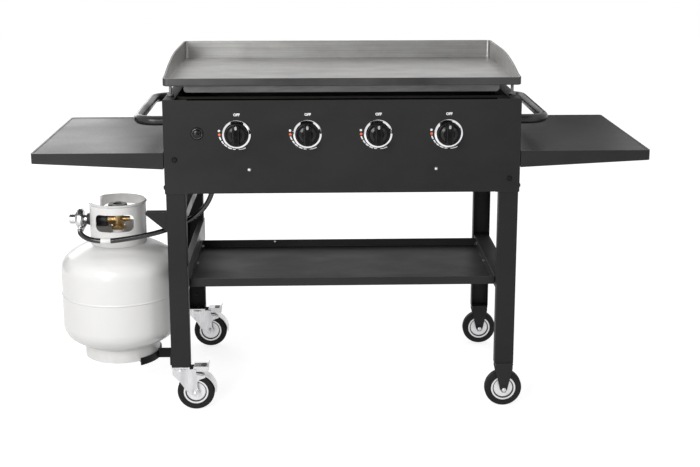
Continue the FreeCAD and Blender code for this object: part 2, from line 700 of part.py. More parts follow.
# Side shelves: pressed sheet with a raised border and tapered aprons
def make_side_shelf(label, side):
    """A side shelf, modelled from its inner end at the box outwards."""
    made = new_body(label)
    length, depth = size("side_shelf_length"), size("side_shelf_depth")
    corner, border, step = size("shelf_corner"), size("shelf_border"), size("shelf_border_step")
    apron = new_sketch(made, "XZ")
    add_outline(apron, [
        (0, 0), (0, -size("side_shelf_inner")), (length * side, -size("side_shelf_outer")),
        (length * side, 0),
    ])
    body = pad(made, apron, depth, ahead=False)
    outer = length.value - 1
    round_edges(made, body, corner, lambda e: all(abs(v.X) > outer for v in e.Vertexes) and upright(e))
    hollow = new_sketch(made, "XY", -(step + sheet))
    lengthwise = (sheet * side, (length - sheet) * side)
    ends = (lengthwise[0], sheet, lengthwise[1], depth - sheet)
    add_outline(hollow, turned_rectangle(*ends, corner - sheet, side))
    pocket(made, hollow, size("side_shelf_inner"), ahead=False)
    field = new_sketch(made, "XY")
    ends = (border * side, border, (length - border) * side, depth - border)
    add_outline(field, turned_rectangle(*ends, corner - border / 2, side))
    pocket(made, field, step, ahead=False)
    return place(made, (half_width + size("side_shelf_gap")) * side, 0, size("side_shelf_top"))


def upright(edge):
    """True for a straight edge along Z."""
    return edge.BoundBox.ZLength > 1 and edge.BoundBox.XLength + edge.BoundBox.YLength < 0.01


def turned_rectangle(x0, y0, x1, y1, radius, side):
    """A rounded rectangle whose first corner may be on either side."""
    low, high = (x0, x1) if side > 0 else (x1, x0)
    return rounded_rectangle(low, y0, high, y1, radius)


for name, side in SIDES.items():
    keep(name + "_side_shelf", make_side_shelf(name + "_side_shelf", side))

brackets = []
for side in (-1, 1):
    for back in (0.16, 0.84):
        length = size("bracket_length")
        thick = size("side_shelf_gap")
        x0 = half_width if side > 0 else -half_width - thick
        y0 = size("body_depth") * back - length / 2
        z0 = size("side_shelf_top") - size("bracket_height") - sheet * 3
        brackets.append(block("bracket", x0, y0, z0, thick, length, size("bracket_height")))
keep("shelf_brackets", grouped("shelf_bracket_group", brackets))


# Handles: bent tubes bolted to the side walls
def make_handle(label, side):
    """A tube that leaves the wall, turns along it and comes back."""
    made = new_body(label)
    reach, span, radius = size("handle_reach"), size("handle_span"), size("handle_bend")
    spine = new_sketch(made, "XY")
    reach = reach * side
    turn = radius * side
    line = [
        (as_size(0), as_size(0)), (reach - turn, as_size(0)), (reach, radius, side),
        (reach, span - radius), (reach - turn, span, side), (as_size(0), span),
    ]
    previous = None
    for i in range(1, len(line)):
        start, end = line[i - 1], line[i]
        a, b = (start[0].value, start[1].value), (end[0].value, end[1].value)
        if len(end) == 2:
            edge = spine.addGeometry(Part.LineSegment(Vector(*a, 0), Vector(*b, 0)), False)
            tip, tail = 2, 1
        else:
            centre = arc_centre(a, b, radius.value, end[2])
            angles = [math.atan2(q[1] - centre[1], q[0] - centre[0]) for q in (a, b)]
            tip, tail = (2, 1) if end[2] > 0 else (1, 2)
            if end[2] < 0:
                angles.reverse()
            circle = Part.Circle(Vector(*centre, 0), Vector(0, 0, 1), radius.value)
            edge = spine.addGeometry(Part.ArcOfCircle(circle, *angles), False)
            index = spine.addConstraint(Sketcher.Constraint("Radius", edge, radius.value))
            bind(spine, "Constraints[%d]" % index, radius)
        if previous:
            spine.addConstraint(Sketcher.Constraint("Coincident", previous[0], previous[1], edge, tail))
        else:
            pin_point(spine, edge, tail, *start)
        pin_point(spine, edge, tip, end[0], end[1])
        previous = (edge, tip)
    section = new_sketch(made, "YZ")
    add_circle(section, 0, 0, size("handle_tube"))
    add_circle(section, 0, 0, size("handle_tube") - size("handle_wall") * 2)
    doc.recompute()
    tube = made.newObject("PartDesign::AdditivePipe", label + "_pipe")
    tube.Profile = section
    tube.Spine = (spine, ["Edge%d" % n for n in range(1, 6)])
    doc.recompute()
    for along in (as_size(0), span):
        plug = add_circle(new_sketch(made, "YZ"), along, 0, size("handle_tube") - size("handle_wall"))
        pad(made, plug, size("handle_plug"), ahead=side > 0)
        threaded = add_circle(new_sketch(made, "YZ"), along, 0, size("pivot_hole"))
        pocket(made, threaded, size("handle_plug") - leg_sheet, ahead=side > 0)
    return place(made, half_width * side, size("handle_front"), handle_height)


for name, side in SIDES.items():
    keep(name + "_handle", make_handle(name + "_handle", side))


# Griddle plate: a pan of rolled steel whose side walls sweep up from the front lip
plate = new_body("griddle_plate")
half_plate = half_width - size("plate_inset")
outline = new_sketch(plate, "XY")
corner = size("plate_corner")
wall = size("plate_wall")
add_outline(outline, rounded_rectangle(-half_plate, 0, half_plate, size("plate_depth"), corner))
blank = pad(plate, outline, size("back_wall"))
round_edges(plate, blank, size("plate_edge"), lambda e: e.BoundBox.ZMax < 0.01)
hollow = new_sketch(plate, "XY", size("plate_thickness"))
inner_corners = (-half_plate + wall, wall, half_plate - wall, size("plate_depth") - wall)
add_outline(hollow, rounded_rectangle(*inner_corners, corner - wall))
pocket(plate, hollow, size("back_wall"))
# Two tangent arcs join the low front to the full height at the back
rise = size("back_wall") - size("front_lip")
run = size("sweep_length")
radii = (run * run + rise * rise) / (rise * 2)
foot = size("sweep_foot")
start = wall + 2
sweep = new_sketch(plate, "YZ")
add_outline(sweep, [
    (start, size("front_lip")),
    (start + foot * run / radii, size("front_lip") + foot * rise / radii, foot, 1),
    (start + run, size("back_wall"), radii - foot, -1),
    (start + run, size("back_wall") + OVERRUN), (-OVERRUN, size("back_wall") + OVERRUN),
    (-OVERRUN, size("front_lip")),
])
pocket(plate, sweep)
drain_place = (size("drain_side"), size("plate_depth") - wall - size("drain_back"))
spout_wall = size("drain_bore") + size("drain_wall") * 2
spout = add_circle(new_sketch(plate, "XY"), *drain_place, spout_wall)
pad(plate, spout, size("drain_length"), ahead=False)
bore = add_circle(new_sketch(plate, "XY"), *drain_place, size("drain_bore"))
pocket(plate, bore)
keep("griddle_plate", place(plate, 0, -size("plate_front"), size("plate_underside")))

bars = []
for number, depth in enumerate((size("stiffener_inset"), size("plate_depth") - size("stiffener_inset"))):
    bar = new_body("stiffener_%d" % number)
    half_bar, round_off = size("stiffener_length") / 2, size("stiffener_corner")
    tall = size("stiffener_height")
    add_outline(new_sketch(bar, "XZ"), [
        (-half_bar, 0), (-half_bar, -tall + round_off), (-half_bar + round_off, -tall, round_off, 1),
        (half_bar - round_off, -tall), (half_bar, -tall + round_off, round_off, 1), (half_bar, 0),
    ])
    pad(bar, bar.Group[0], size("stiffener_thickness"), ahead=False)
    bars.append(place(bar, 0, depth - size("plate_front"), size("plate_underside")))
keep("griddle_stiffeners", grouped("griddle_stiffener_pair", bars))

feet = []
for side in (-1, 1):
    for depth in (size("foot_front"), size("body_depth") - size("foot_back")):
        x = (half_width - size("foot_side")) * side
        pad_piece = rod("foot_pad", size("foot_pad"), size("foot_pad_height"), x, depth, body_top)
        stud_length = size("plate_underside") - body_top
        stud = rod("foot_stud", size("foot_stud"), stud_length, x, depth, body_top)
        feet.append(fused("griddle_foot", [pad_piece, stud]))
keep("griddle_feet", grouped("griddle_foot_set", feet))


# Controls: bezels, stems and press-and-turn knobs
knob_back = -size("knob_back_gap")


def make_knob(label):
    """A moulded knob: a dished skirt, a tapered grip bar and a bore for its stem."""
    made = new_body(label)
    outer = size("knob_diameter") / 2
    skirt, grip = size("knob_skirt"), size("knob_grip")
    edge = outer * 0.08
    turned = new_sketch(made, "XY")
    add_outline(turned, [
        (0, 0), (outer, 0), (outer, -skirt + edge), (outer - edge, -skirt, edge, -1),
        (outer * 0.72, -skirt), (outer * 0.5, -skirt * 1.35), (0, -skirt * 1.35),
    ])
    revolve(made, turned)
    half_bar = size("knob_grip_width") / 2
    bar = new_sketch(made, "XZ", skirt * 0.6)
    reach = outer * 0.92
    add_outline(bar, rounded_rectangle(-half_bar, -reach, half_bar, reach, half_bar * 0.7))
    grip_pad = pad(made, bar, skirt * 0.4 + grip)
    bind(grip_pad, "TaperAngle", -size("knob_grip_taper"))
    doc.recompute()
    tip = -(skirt + grip).value + 0.01
    round_edges(made, grip_pad, half_bar * 0.18, lambda e: e.BoundBox.YMax < tip)
    bore = new_sketch(made, "XZ")
    add_circle(bore, 0, 0, size("stem_diameter") + size("stem_fit") * 2)
    pocket(made, bore, size("stem_into_knob") + size("stem_fit") * 5, ahead=True)
    return made


bezels = []
for number, x in KNOBS:
    knob = place(make_knob("knob_%d" % number), x, knob_back, size("knob_height"))
    keep("knob_%d" % number, knob)
    stem_start = knob_back - size("stem_into_knob")
    stem_length = size("valve_front") + size("stem_into_valve") - stem_start
    stem = rod("stem", size("stem_diameter"), stem_length, x, stem_start, size("knob_height"), ALONG_Y)
    keep("valve_stem_%d" % number, stem)
    bezel = new_body("bezel_%d" % number)
    outer, inner, depth = size("bezel_outer") / 2, size("bezel_inner") / 2, size("bezel_depth")
    add_outline(new_sketch(bezel, "XY"), [
        (inner, 0), (outer, 0), (outer, -depth * 0.35), (inner + depth * 0.5, -depth, depth * 1.5, -1),
        (inner, -depth),
    ])
    revolve(bezel, bezel.Group[0])
    bezels.append(place(bezel, x, 0, size("knob_height")))
keep("knob_bezels", grouped("bezel_set", bezels))

# Igniter: a barrel through the panel with a flanged ring, and a button in its bore
housing = new_body("igniter_housing")
button_radius, barrel = size("igniter_button_size") / 2, size("igniter_barrel") / 2
ring, travel = size("igniter_ring") / 2, size("press_travel")
bore = button_radius + gap / 2
bore_depth = travel * 4
add_outline(new_sketch(housing, "XY"), [
    (0, bore_depth), (bore, bore_depth), (bore, -travel / 2), (ring - travel / 2, -travel / 2), (ring, 0),
    (barrel, 0), (barrel, size("igniter_length")), (0, size("igniter_length")),
])
revolve(housing, housing.Group[0])
place(housing, -size("igniter_side"), 0, size("igniter_height"))
keep("igniter_housing", housing)
button = new_body("igniter_button")
crown = button_radius * 0.25
add_outline(new_sketch(button, "XY"), [
    (0, travel * 2.5), (button_radius, travel * 2.5), (button_radius, -travel * 2 + crown),
    (button_radius - crown, -travel * 2, crown, -1), (0, -travel * 2),
])
revolve(button, button.Group[0])
place(button, -size("igniter_side"), 0, size("igniter_height"))
keep("igniter_button", button)

# Gas train: manifold with its hose inlet, four valves, two brackets
manifold_start = -size("inlet_side") - size("manifold_overrun")
last_valve = KNOBS[-1][1] + size("manifold_overrun")
manifold_length = last_valve - manifold_start
outer, bore = size("manifold_diameter"), size("manifold_diameter") - size("manifold_wall") * 2
spot = (manifold_start, size("manifold_back"), size("manifold_height"))
pipe = rod("manifold_tube", outer, manifold_length, *spot, ALONG_X)
core_length = manifold_length - size("manifold_wall") * 2
inner_spot = (manifold_start + size("manifold_wall"),) + spot[1:]
core = rod("manifold_core", bore, core_length, *inner_spot, ALONG_X)
hollow_pipe = without("manifold_hollow", pipe, core)
inlet_end = size("manifold_height") - outer / 2 - size("inlet_length")
inlet_x = -size("inlet_side")
inlet_top = size("inlet_length") + outer * 0.3
inlet = rod("inlet", size("inlet_diameter"), inlet_top, inlet_x, size("manifold_back"), inlet_end)
nut = doc.addObject("Part::Prism", "inlet_nut")
nut.Polygon = 6
bind(nut, "Circumradius", size("inlet_nut") / 2)
bind(nut, "Height", size("inlet_length") / 2)
place(nut, inlet_x, size("manifold_back"), inlet_end)
manifold = fused("manifold_welded", [hollow_pipe, inlet, nut])

valves = []
for number, x in KNOBS:
    width, front, length = size("valve_width"), size("valve_front"), size("valve_length")
    base = size("manifold_height") + outer / 2
    tall = size("knob_height") + width / 2 - base
    casting = block("valve_body", x - width / 2, front, base, width, length, tall)
    spot = (x, front + length, size("knob_height"))
    nozzle = rod("nozzle", size("nozzle_diameter"), size("nozzle_length"), *spot, ALONG_Y)
    solid = fused("valve_casting", [casting, nozzle])
    depth = size("stem_into_valve") + size("press_travel") * 1.25
    stem_bore = size("stem_diameter") + size("stem_fit") * 2
    seat = rod("stem_seat", stem_bore, depth, x, front, size("knob_height"), ALONG_Y)
    valves.append(without("gas_valve", solid, seat))
keep("gas_valves", grouped("gas_valve_set", valves))

brackets = []
for side in (-1, 1):
    bracket = new_body("manifold_bracket")
    reach = size("manifold_back") + size("manifold_diameter") / 2
    drop = size("manifold_height") - size("manifold_diameter") / 2 - size("rivet_height")
    plate_thick = leg_sheet
    low = -size("manifold_bracket") / 2
    add_outline(new_sketch(bracket, "YZ", low), [
        (0, low), (plate_thick, low), (plate_thick, drop - plate_thick), (reach, drop - plate_thick),
        (reach, drop), (0, drop),
    ])
    pad(bracket, bracket.Group[0], size("manifold_bracket"))
    brackets.append(place(bracket, size("rivet_side") * side, sheet, size("rivet_height")))
keep("manifold", grouped("manifold_with_brackets", [manifold] + brackets))

# Heat shield with the openings for the burners, burner rail at the back, burners
inside_half = half_width - sheet - gap
shield = new_body("heat_shield")
panel_top = body_top - sheet - gap
shield_bottom = panel_top - size("shield_drop")
notch = size("wall_top_flange") + gap
drop = size("shield_drop")
add_outline(new_sketch(shield, "XZ"), [
    (-inside_half, 0), (inside_half, 0), (inside_half, drop - bend), (inside_half - notch, drop),
    (-inside_half + notch, drop), (-inside_half, drop - bend),
])
pad(shield, shield.Group[0], sheet, ahead=False)
flange = new_sketch(shield, "XZ")
add_outline(flange, rectangle(-inside_half, 0, inside_half, sheet))
pad(shield, flange, size("burner_rail_flange"), ahead=False)
openings = new_sketch(shield, "XZ")
for _, x in KNOBS:
    add_circle(openings, x, size("knob_height") - shield_bottom, size("burner_venturi"))
pocket(shield, openings)
keep("heat_shield", place(shield, 0, size("shield_back"), shield_bottom))

rail = new_body("burner_rail")
profile = new_sketch(rail, "YZ", -inside_half)
flange, tall = size("burner_rail_flange"), size("burner_rail_height")
add_outline(profile, channel(flange, flange, tall, sheet, bend, -1))
pad(rail, profile, inside_half * 2)
burner_height = size("knob_height")
seats = new_sketch(rail, "XZ")
for _, x in KNOBS:
    add_circle(seats, x, tall / 2, bend * 2)
pocket(rail, seats)
keep("burner_rail", place(rail, 0, size("burner_rail_back") + sheet, burner_height - tall / 2))

burners = []
for number, x in KNOBS:
    burner = new_body("burner_%d" % number)
    tube, bell = size("burner_diameter") / 2, size("burner_venturi") / 2
    thin = size("burner_wall")
    length = size("burner_rail_back") - size("shield_back")
    neck = bell * 2
    add_outline(new_sketch(burner, "XY"), [
        (bell - thin, 0), (bell, 0), (tube, neck), (tube, length - thin * 4), (tube * 0.5, length),
        (0, length), (0, length - thin), (tube * 0.5 - thin, length - thin),
        (tube - thin, length - thin * 5), (tube - thin, neck),
    ])
    revolve(burner, burner.Group[0])
    burners.append(place(burner, x, size("shield_back"), burner_height))
keep("burners", grouped("burner_set", burners))

electrodes = []
for number, x in KNOBS:
    spot = (x + size("burner_venturi") * 0.8, size("shield_back") + sheet, burner_height + tube * 0.5)
    ceramic = rod("ceramic", size("electrode_diameter"), size("electrode_length"), *spot, ALONG_Y)
    tip_spot = (spot[0], spot[1] + size("electrode_length"), spot[2])
    wire = size("electrode_diameter") * 0.3
    tip = rod("electrode_tip", wire, size("electrode_length") / 3, *tip_spot, ALONG_Y)
    electrodes.append(fused("electrode", [ceramic, tip]))
keep("igniter_electrodes", grouped("electrode_set", electrodes))


# Casters: the left pair swivels and has brakes, the right pair is rigid
axle_height = size("wheel_diameter") / 2
cheek = size("fork_sheet")
half_gap = size("fork_gap") / 2
boss = size("axle_diameter")
mount_base = size("leg_bottom") - size("mount_plate")
crown_top = mount_base - gap * 0.75
pedal_pivot = size("leg_width") / 2 + OVERRUN
pedal_pin = size("pedal_sheet") * 2
crown_thick = crown_top - size("fork_crown")
pedal_height = size("fork_crown") + crown_thick * 0.6


def make_axle(name, x, back):
    """A wheel bolt through both cheeks with a hexagon head and nut."""
    half = half_gap + cheek
    shank = rod(name + "_shank", size("axle_diameter"), half * 2, x, back - half, axle_height, ALONG_Y)
    heads = []
    for depth in (back - half - size("axle_diameter") / 2, back + half):
        head = doc.addObject("Part::Prism", name + "_head")
        head.Polygon = 6
        bind(head, "Circumradius", size("axle_diameter") * 0.9)
        bind(head, "Height", size("axle_diameter") / 2)
        heads.append(place(head, x, depth, axle_height, ALONG_Y))
    return [shank] + heads


def make_cheeks(name, steps, x, back, thickness):
    """The two side plates of a fork, mirrored about the wheel."""
    plates = []
    for inner in (half_gap, -half_gap - thickness):
        made = new_body(name)
        add_outline(new_sketch(made, "XZ"), steps)
        pad(made, made.Group[0], thickness, ahead=False)
        plates.append(place(made, x, back + inner, 0))
    return plates


def make_swivel_fork(label, x, back):
    """Crown, cheeks with the pedal's ears, curved guard beside the tyre, and the wheel bolt."""
    trail, wide = size("caster_trail"), size("crown_diameter") * 0.48
    ear, shoulder = pedal_pivot + pedal_pin * 1.1, size("fork_crown") - cheek * 1.8
    edge = trail + boss * 0.5
    cheeks = make_cheeks(label + "_cheek", [
        (-wide, crown_top), (-wide, shoulder), (trail - boss * 4, axle_height + boss * 2.9),
        (trail - boss * 2.5, axle_height + boss * 0.6), (trail - boss * 0.9, axle_height - boss * 0.6),
        (trail + boss * 0.9, axle_height + boss * 0.4, boss * 1.1, 1), (edge, axle_height + boss * 1.5),
        (edge, axle_height + boss * 3), (trail + boss * 0.9, axle_height + boss * 3.6),
        (trail + boss * 2.6, axle_height + boss * 4.2), (trail + boss * 2.6, axle_height + boss * 4.6),
        (ear, shoulder), (ear, crown_top),
    ], x, back, cheek)
    crown = rod(label + "_crown", size("crown_diameter"), crown_thick, x, back, size("fork_crown"))
    bore_size = size("swivel_pin") + size("axle_fit") * 2
    bore = rod(label + "_bore", bore_size, crown_thick, x, back, size("fork_crown"))
    pin_length = half_gap * 2
    pin_spot = (x + pedal_pivot, back - half_gap, pedal_height)
    pin = rod(label + "_pin", pedal_pin, pin_length, *pin_spot, ALONG_Y)
    guard = new_body(label + "_guard")
    inner = axle_height + size("guard_gap")
    outer = inner + cheek
    arc = [(outer, 0), (0, outer, outer, 1), (0, inner), (inner, 0, inner, -1)]
    add_outline(new_sketch(guard, "XZ"), arc)
    pad(guard, guard.Group[0], (half_gap + cheek) * 2, ahead=False)
    place(guard, x + trail, back - half_gap - cheek, axle_height)
    pieces = cheeks + [crown, pin, guard] + make_axle(label, x + trail, back)
    return without(label + "_bored", fused(label + "_solid", pieces), bore)


def make_wheel(name, x, back):
    """Tyre and hub, both turned about the axle."""
    half_tyre, radius = size("wheel_width") / 2, size("wheel_diameter") / 2
    rim, round_off = size("hub_diameter") / 2, size("wheel_width") / 4
    tyre = new_body(name + "_tyre")
    add_outline(new_sketch(tyre, "XY"), [
        (rim, -half_tyre), (radius - round_off, -half_tyre), (radius, -half_tyre + round_off, round_off, 1),
        (radius, half_tyre - round_off), (radius - round_off, half_tyre, round_off, 1), (rim, half_tyre),
    ])
    revolve(tyre, tyre.Group[0])
    keep(name + "_tyre", place(tyre, x, back, axle_height))
    hub = new_body(name + "_hub")
    bore = size("axle_diameter") / 2 + size("axle_fit")
    neck, groove, lip = boss * 1.1, rim * 0.8, rim * 0.86
    web, face, end = half_tyre * 0.6, half_tyre * 0.92, half_gap - size("hub_play")
    add_outline(new_sketch(hub, "XY"), [
        (bore, -end), (neck, -end), (neck, -web), (groove, -web), (lip, -face), (rim, -face),
        (rim, face), (lip, face), (groove, web), (neck, web), (neck, end), (bore, end),
    ])
    revolve(hub, hub.Group[0])
    keep(name + "_hub", place(hub, x, back, axle_height))


mounts = []
rigid_forks = []
for end, back in leg_backs.items():
    # Left: a top plate with a king pin, the swivelling fork and its brake pedal
    x = -leg_middle
    name = end + "_left"
    plate_x, plate_y = size("leg_width") - cheek, size("leg_depth") + OVERRUN
    top = block("top_plate", x - plate_x / 2, back - plate_y / 2, mount_base, plate_x, plate_y,
                size("mount_plate"))
    king = rod("king_pin", size("swivel_pin"), mount_base - size("fork_crown"), x, back, size("fork_crown"))
    mounts.append(fused("caster_mount", [top, king]))
    keep(name + "_caster_fork", make_swivel_fork(name + "_fork", x, back))
    make_wheel(name, x + size("caster_trail"), back)
    pedal = new_body(name + "_pedal")
    start, length = -pedal_pin * 0.8, size("pedal_length")
    low, high = -pedal_pin * 0.9, crown_thick
    skirt = pedal_pin * 0.6
    add_outline(new_sketch(pedal, "XZ"), [
        (start, low + skirt), (start + skirt, low, skirt, 1), (start + length - skirt, low),
        (start + length, low + skirt, skirt, 1), (start + length, high), (start + skirt, high),
    ])
    pad(pedal, pedal.Group[0], size("pedal_width"), ahead=False)
    wall = size("pedal_sheet")
    under = new_sketch(pedal, "XY", low - wall)
    add_outline(under, rectangle(start - wall, wall, start + length - wall, size("pedal_width") - wall))
    pocket(pedal, under, high - low)
    eye = add_circle(new_sketch(pedal, "XZ"), 0, 0, pedal_pin + size("axle_fit") * 2)
    pocket(pedal, eye)
    place(pedal, x + pedal_pivot, back - size("pedal_width") / 2, pedal_height)
    keep(name + "_brake_pedal", pedal)
    # Right: a rigid V-shaped fork
    x, name = leg_middle, end + "_right"
    spread = size("leg_width") * 0.46
    cheeks = make_cheeks(name + "_cheek", [
        (-spread, size("leg_bottom")), (-spread, size("fork_crown")), (-boss, axle_height),
        (boss, axle_height, boss * 1.05, 1), (spread, size("fork_crown")), (spread, size("leg_bottom")),
    ], x, back, cheek)
    top = block("rigid_plate", x - plate_x / 2, back - half_gap - cheek, mount_base, plate_x,
                (half_gap + cheek) * 2, size("mount_plate"))
    rigid_forks.append(fused("rigid_fork", cheeks + [top] + make_axle(name, x, back)))
    make_wheel(name, x, back)
keep("caster_mounts", grouped("caster_mount_pair", mounts))
keep("right_caster_forks", grouped("rigid_fork_pair", rigid_forks))

# Gas cylinder: shell with dished ends and a girth weld on a foot ring, collar, valve, handwheel
cylinder_x, cylinder_y = -half_width - size("cylinder_side"), size("cylinder_back")
radius = size("cylinder_diameter") / 2
knuckle, dish = size("dish_knuckle"), size("dish_crown")
shell_base = size("cylinder_foot") + size("bottom_clearance")
span = dish - knuckle
inset = radius - knuckle
crown_drop = (span * span - inset * inset).root()
dish_height = dish - crown_drop
low_tangent = shell_base + dish_height
high_tangent = low_tangent + size("cylinder_straight")
# Where the large arc meets the small one
meet_radius = inset * dish / span
meet_rise = crown_drop * dish / span - crown_drop
wall = size("cylinder_wall")
inner_dish = dish - wall
inner_meet = inset * inner_dish / span
inner_rise = crown_drop * inner_dish / span - crown_drop
# The valve's thread goes through a hole in the shell's top
neck_radius = size("valve_thread") / 2 + size("axle_fit")
neck_seat = high_tangent - crown_drop + (dish * dish - neck_radius * neck_radius).root()
neck_inside = high_tangent - crown_drop + (inner_dish * inner_dish - neck_radius * neck_radius).root()
weld = (low_tangent + high_tangent) / 2 + size("weld_width") * 1.5
half_weld = size("weld_width") / 2
shell = new_body("cylinder_shell")
bulge = size("weld_height")
add_outline(new_sketch(shell, "XZ"), [
    (0, shell_base), (meet_radius, low_tangent - meet_rise, dish, 1), (radius, low_tangent, knuckle, 1),
    (radius, weld - half_weld), (radius + bulge, weld - half_weld * 0.3),
    (radius + bulge, weld + half_weld * 0.3), (radius, weld + half_weld), (radius, high_tangent),
    (meet_radius, high_tangent + meet_rise, knuckle, 1), (neck_radius, neck_seat, dish, 1),
    (neck_radius, neck_inside), (inner_meet, high_tangent + inner_rise, inner_dish, -1),
    (radius - wall, high_tangent, knuckle - wall, -1), (radius - wall, low_tangent),
    (inner_meet, low_tangent - inner_rise, knuckle - wall, -1), (0, shell_base + wall, inner_dish, -1),
])
revolve(shell, shell.Group[0])
place(shell, cylinder_x, cylinder_y)
ring_tall, ring_wide = size("foot_ring_height"), size("foot_ring_diameter")
ring_wall = size("foot_ring_sheet")
foot_outer = rod("foot_ring_outside", ring_wide, ring_tall, cylinder_x, cylinder_y, size("cylinder_foot"))
foot_room = ring_wide - ring_wall * 2
foot_inner = rod("foot_ring_inside", foot_room, ring_tall, cylinder_x, cylinder_y, size("cylinder_foot"))
ring = without("foot_ring", foot_outer, foot_inner)
valve_seat = neck_seat + size("neck_height")
neck_spot = (cylinder_x, cylinder_y, neck_inside)
neck_tall, neck_wide = valve_seat - neck_inside, (neck_radius + size("neck_wall")) * 2
neck_outer = rod("neck_outside", neck_wide, neck_tall, *neck_spot)
neck_bore = rod("neck_inside", neck_radius * 2, neck_tall, *neck_spot)
neck = without("cylinder_neck", neck_outer, neck_bore)
keep("cylinder", fused("cylinder_welded", [shell, ring, neck]))

collar = new_body("cylinder_collar")
collar_outer = size("collar_diameter") / 2
collar_inner = collar_outer - ring_wall
collar_foot = high_tangent - crown_drop + (dish * dish - collar_inner * collar_inner).root()
bead = size("collar_bead") / 2
tall = size("collar_height")
add_outline(new_sketch(collar, "XZ"), [
    (collar_inner, 0), (collar_outer, 0), (collar_outer, tall - bead * 2),
    (collar_outer + ring_wall, tall - bead), (collar_outer, tall), (collar_inner, tall),
])
revolve(collar, collar.Group[0])
window_top = tall - size("collar_band")
window_base = window_top - size("collar_window")
half_hole, corner = size("collar_hand_hole") / 2, size("collar_window") * 0.3
for ahead in (True, False):
    window = new_sketch(collar, "XZ")
    add_outline(window, rounded_rectangle(-half_hole, window_base, half_hole, window_top, corner))
    pocket(collar, window, collar_outer + ring_wall, ahead=ahead)
# On the left the collar is open to its top for the valve's outlet
slot = new_sketch(collar, "YZ")
near, far = -size("slot_front"), size("slot_back")
base, corner = size("slot_base"), size("slot_corner")
add_outline(slot, [
    (near - corner, tall + bead), (near - corner, tall), (near, tall - corner, corner, -1),
    (near, base + corner), (near + corner, base, corner, 1), (far - corner, base),
    (far, base + corner, corner, 1), (far, tall - corner), (far + corner, tall, corner, -1),
    (far + corner, tall + bead),
])
pocket(collar, slot, collar_outer + ring_wall, ahead=False)
keep("cylinder_collar", place(collar, cylinder_x, cylinder_y, collar_foot))

outlet = valve_seat + size("outlet_rise")
valve_radius = size("valve_body") / 2
casting_top = outlet + valve_radius
valve_top = casting_top + size("bonnet_height")
column = rod("valve_column", size("valve_body"), casting_top - valve_seat, cylinder_x, cylinder_y, valve_seat)
bonnet_spot = (cylinder_x, cylinder_y, casting_top)
bonnet = rod("valve_bonnet", size("bonnet_diameter"), size("bonnet_height"), *bonnet_spot)
relief = rod("valve_relief", size("relief_diameter"), size("relief_reach"), cylinder_x, cylinder_y, outlet, ALONG_X)
thread_base = valve_seat - size("thread_length")
thread_spot = (cylinder_x, cylinder_y, thread_base)
threaded = rod("valve_thread", size("valve_thread"), size("thread_length"), *thread_spot)
hexagon = doc.addObject("Part::Prism", "valve_hexagon")
hexagon.Polygon = 6
bind(hexagon, "Circumradius", size("valve_body") * 0.65)
bind(hexagon, "Height", size("valve_body") * 0.3)
place(hexagon, cylinder_x, cylinder_y, valve_seat)
outlet_start = cylinder_x - size("outlet_length")
outlet_spot = (outlet_start, cylinder_y, outlet)
spout = rod("valve_outlet", size("outlet_diameter"), size("outlet_length"), *outlet_spot, ALONG_X)
spindle_tall = size("handwheel_height") * 0.6
spindle = rod("valve_spindle", size("valve_body") * 0.4, spindle_tall, cylinder_x, cylinder_y, valve_top)
turned = [column, threaded, hexagon, spout, relief, bonnet, spindle]
keep("cylinder_valve", fused("cylinder_valve_solid", turned))
handwheel = new_body("valve_handwheel")
grip_radius, tall = size("handwheel_diameter") / 2, size("handwheel_height")
seat = size("valve_body") * 0.2 + size("axle_fit")
add_outline(new_sketch(handwheel, "XZ"), [
    (seat, gap), (grip_radius * 0.5, gap), (grip_radius * 0.9, tall * 0.2), (grip_radius, tall * 0.45),
    (grip_radius * 0.9, tall), (grip_radius * 0.45, tall), (grip_radius * 0.4, tall * 0.8), (0, tall * 0.8),
    (0, spindle_tall + gap), (seat, spindle_tall + gap),
])
revolve(handwheel, handwheel.Group[0])
scallops = new_sketch(handwheel, "XY")
lobes = 6
for lobe in range(lobes):
    angle = math.radians(360 / lobes * lobe)
    reach = grip_radius * 1.12
    add_circle(scallops, reach * math.cos(angle), reach * math.sin(angle), grip_radius * 0.55)
pocket(handwheel, scallops)
keep("valve_handwheel", place(handwheel, cylinder_x, cylinder_y, valve_top))

coupling = new_body("coupling_nut")
nut_radius, nut_length = size("coupling_diameter") / 2, size("coupling_length")
thread = size("outlet_diameter") / 2
engaged = nut_length * 0.4
add_outline(new_sketch(coupling, "XY"), [
    (thread, 0), (nut_radius * 0.94, 0), (nut_radius, nut_length * 0.12), (nut_radius, nut_length * 0.7),
    (nut_radius * 0.75, nut_length), (0, nut_length), (0, engaged), (thread, engaged),
])
revolve(coupling, coupling.Group[0])
grips = new_sketch(coupling, "XZ")
flutes = 12
for flute in range(flutes):
    angle = math.radians(360 / flutes * flute)
    reach = nut_radius * 1.04
    add_circle(grips, reach * math.cos(angle), reach * math.sin(angle), nut_radius * 0.2)
pocket(coupling, grips, nut_length * 0.8, ahead=False)
TO_THE_LEFT = Rotation(Vector(0, 0, 1), 90)
nut_place = outlet_start + engaged
keep("coupling_nut", place(coupling, nut_place, cylinder_y, outlet, TO_THE_LEFT))

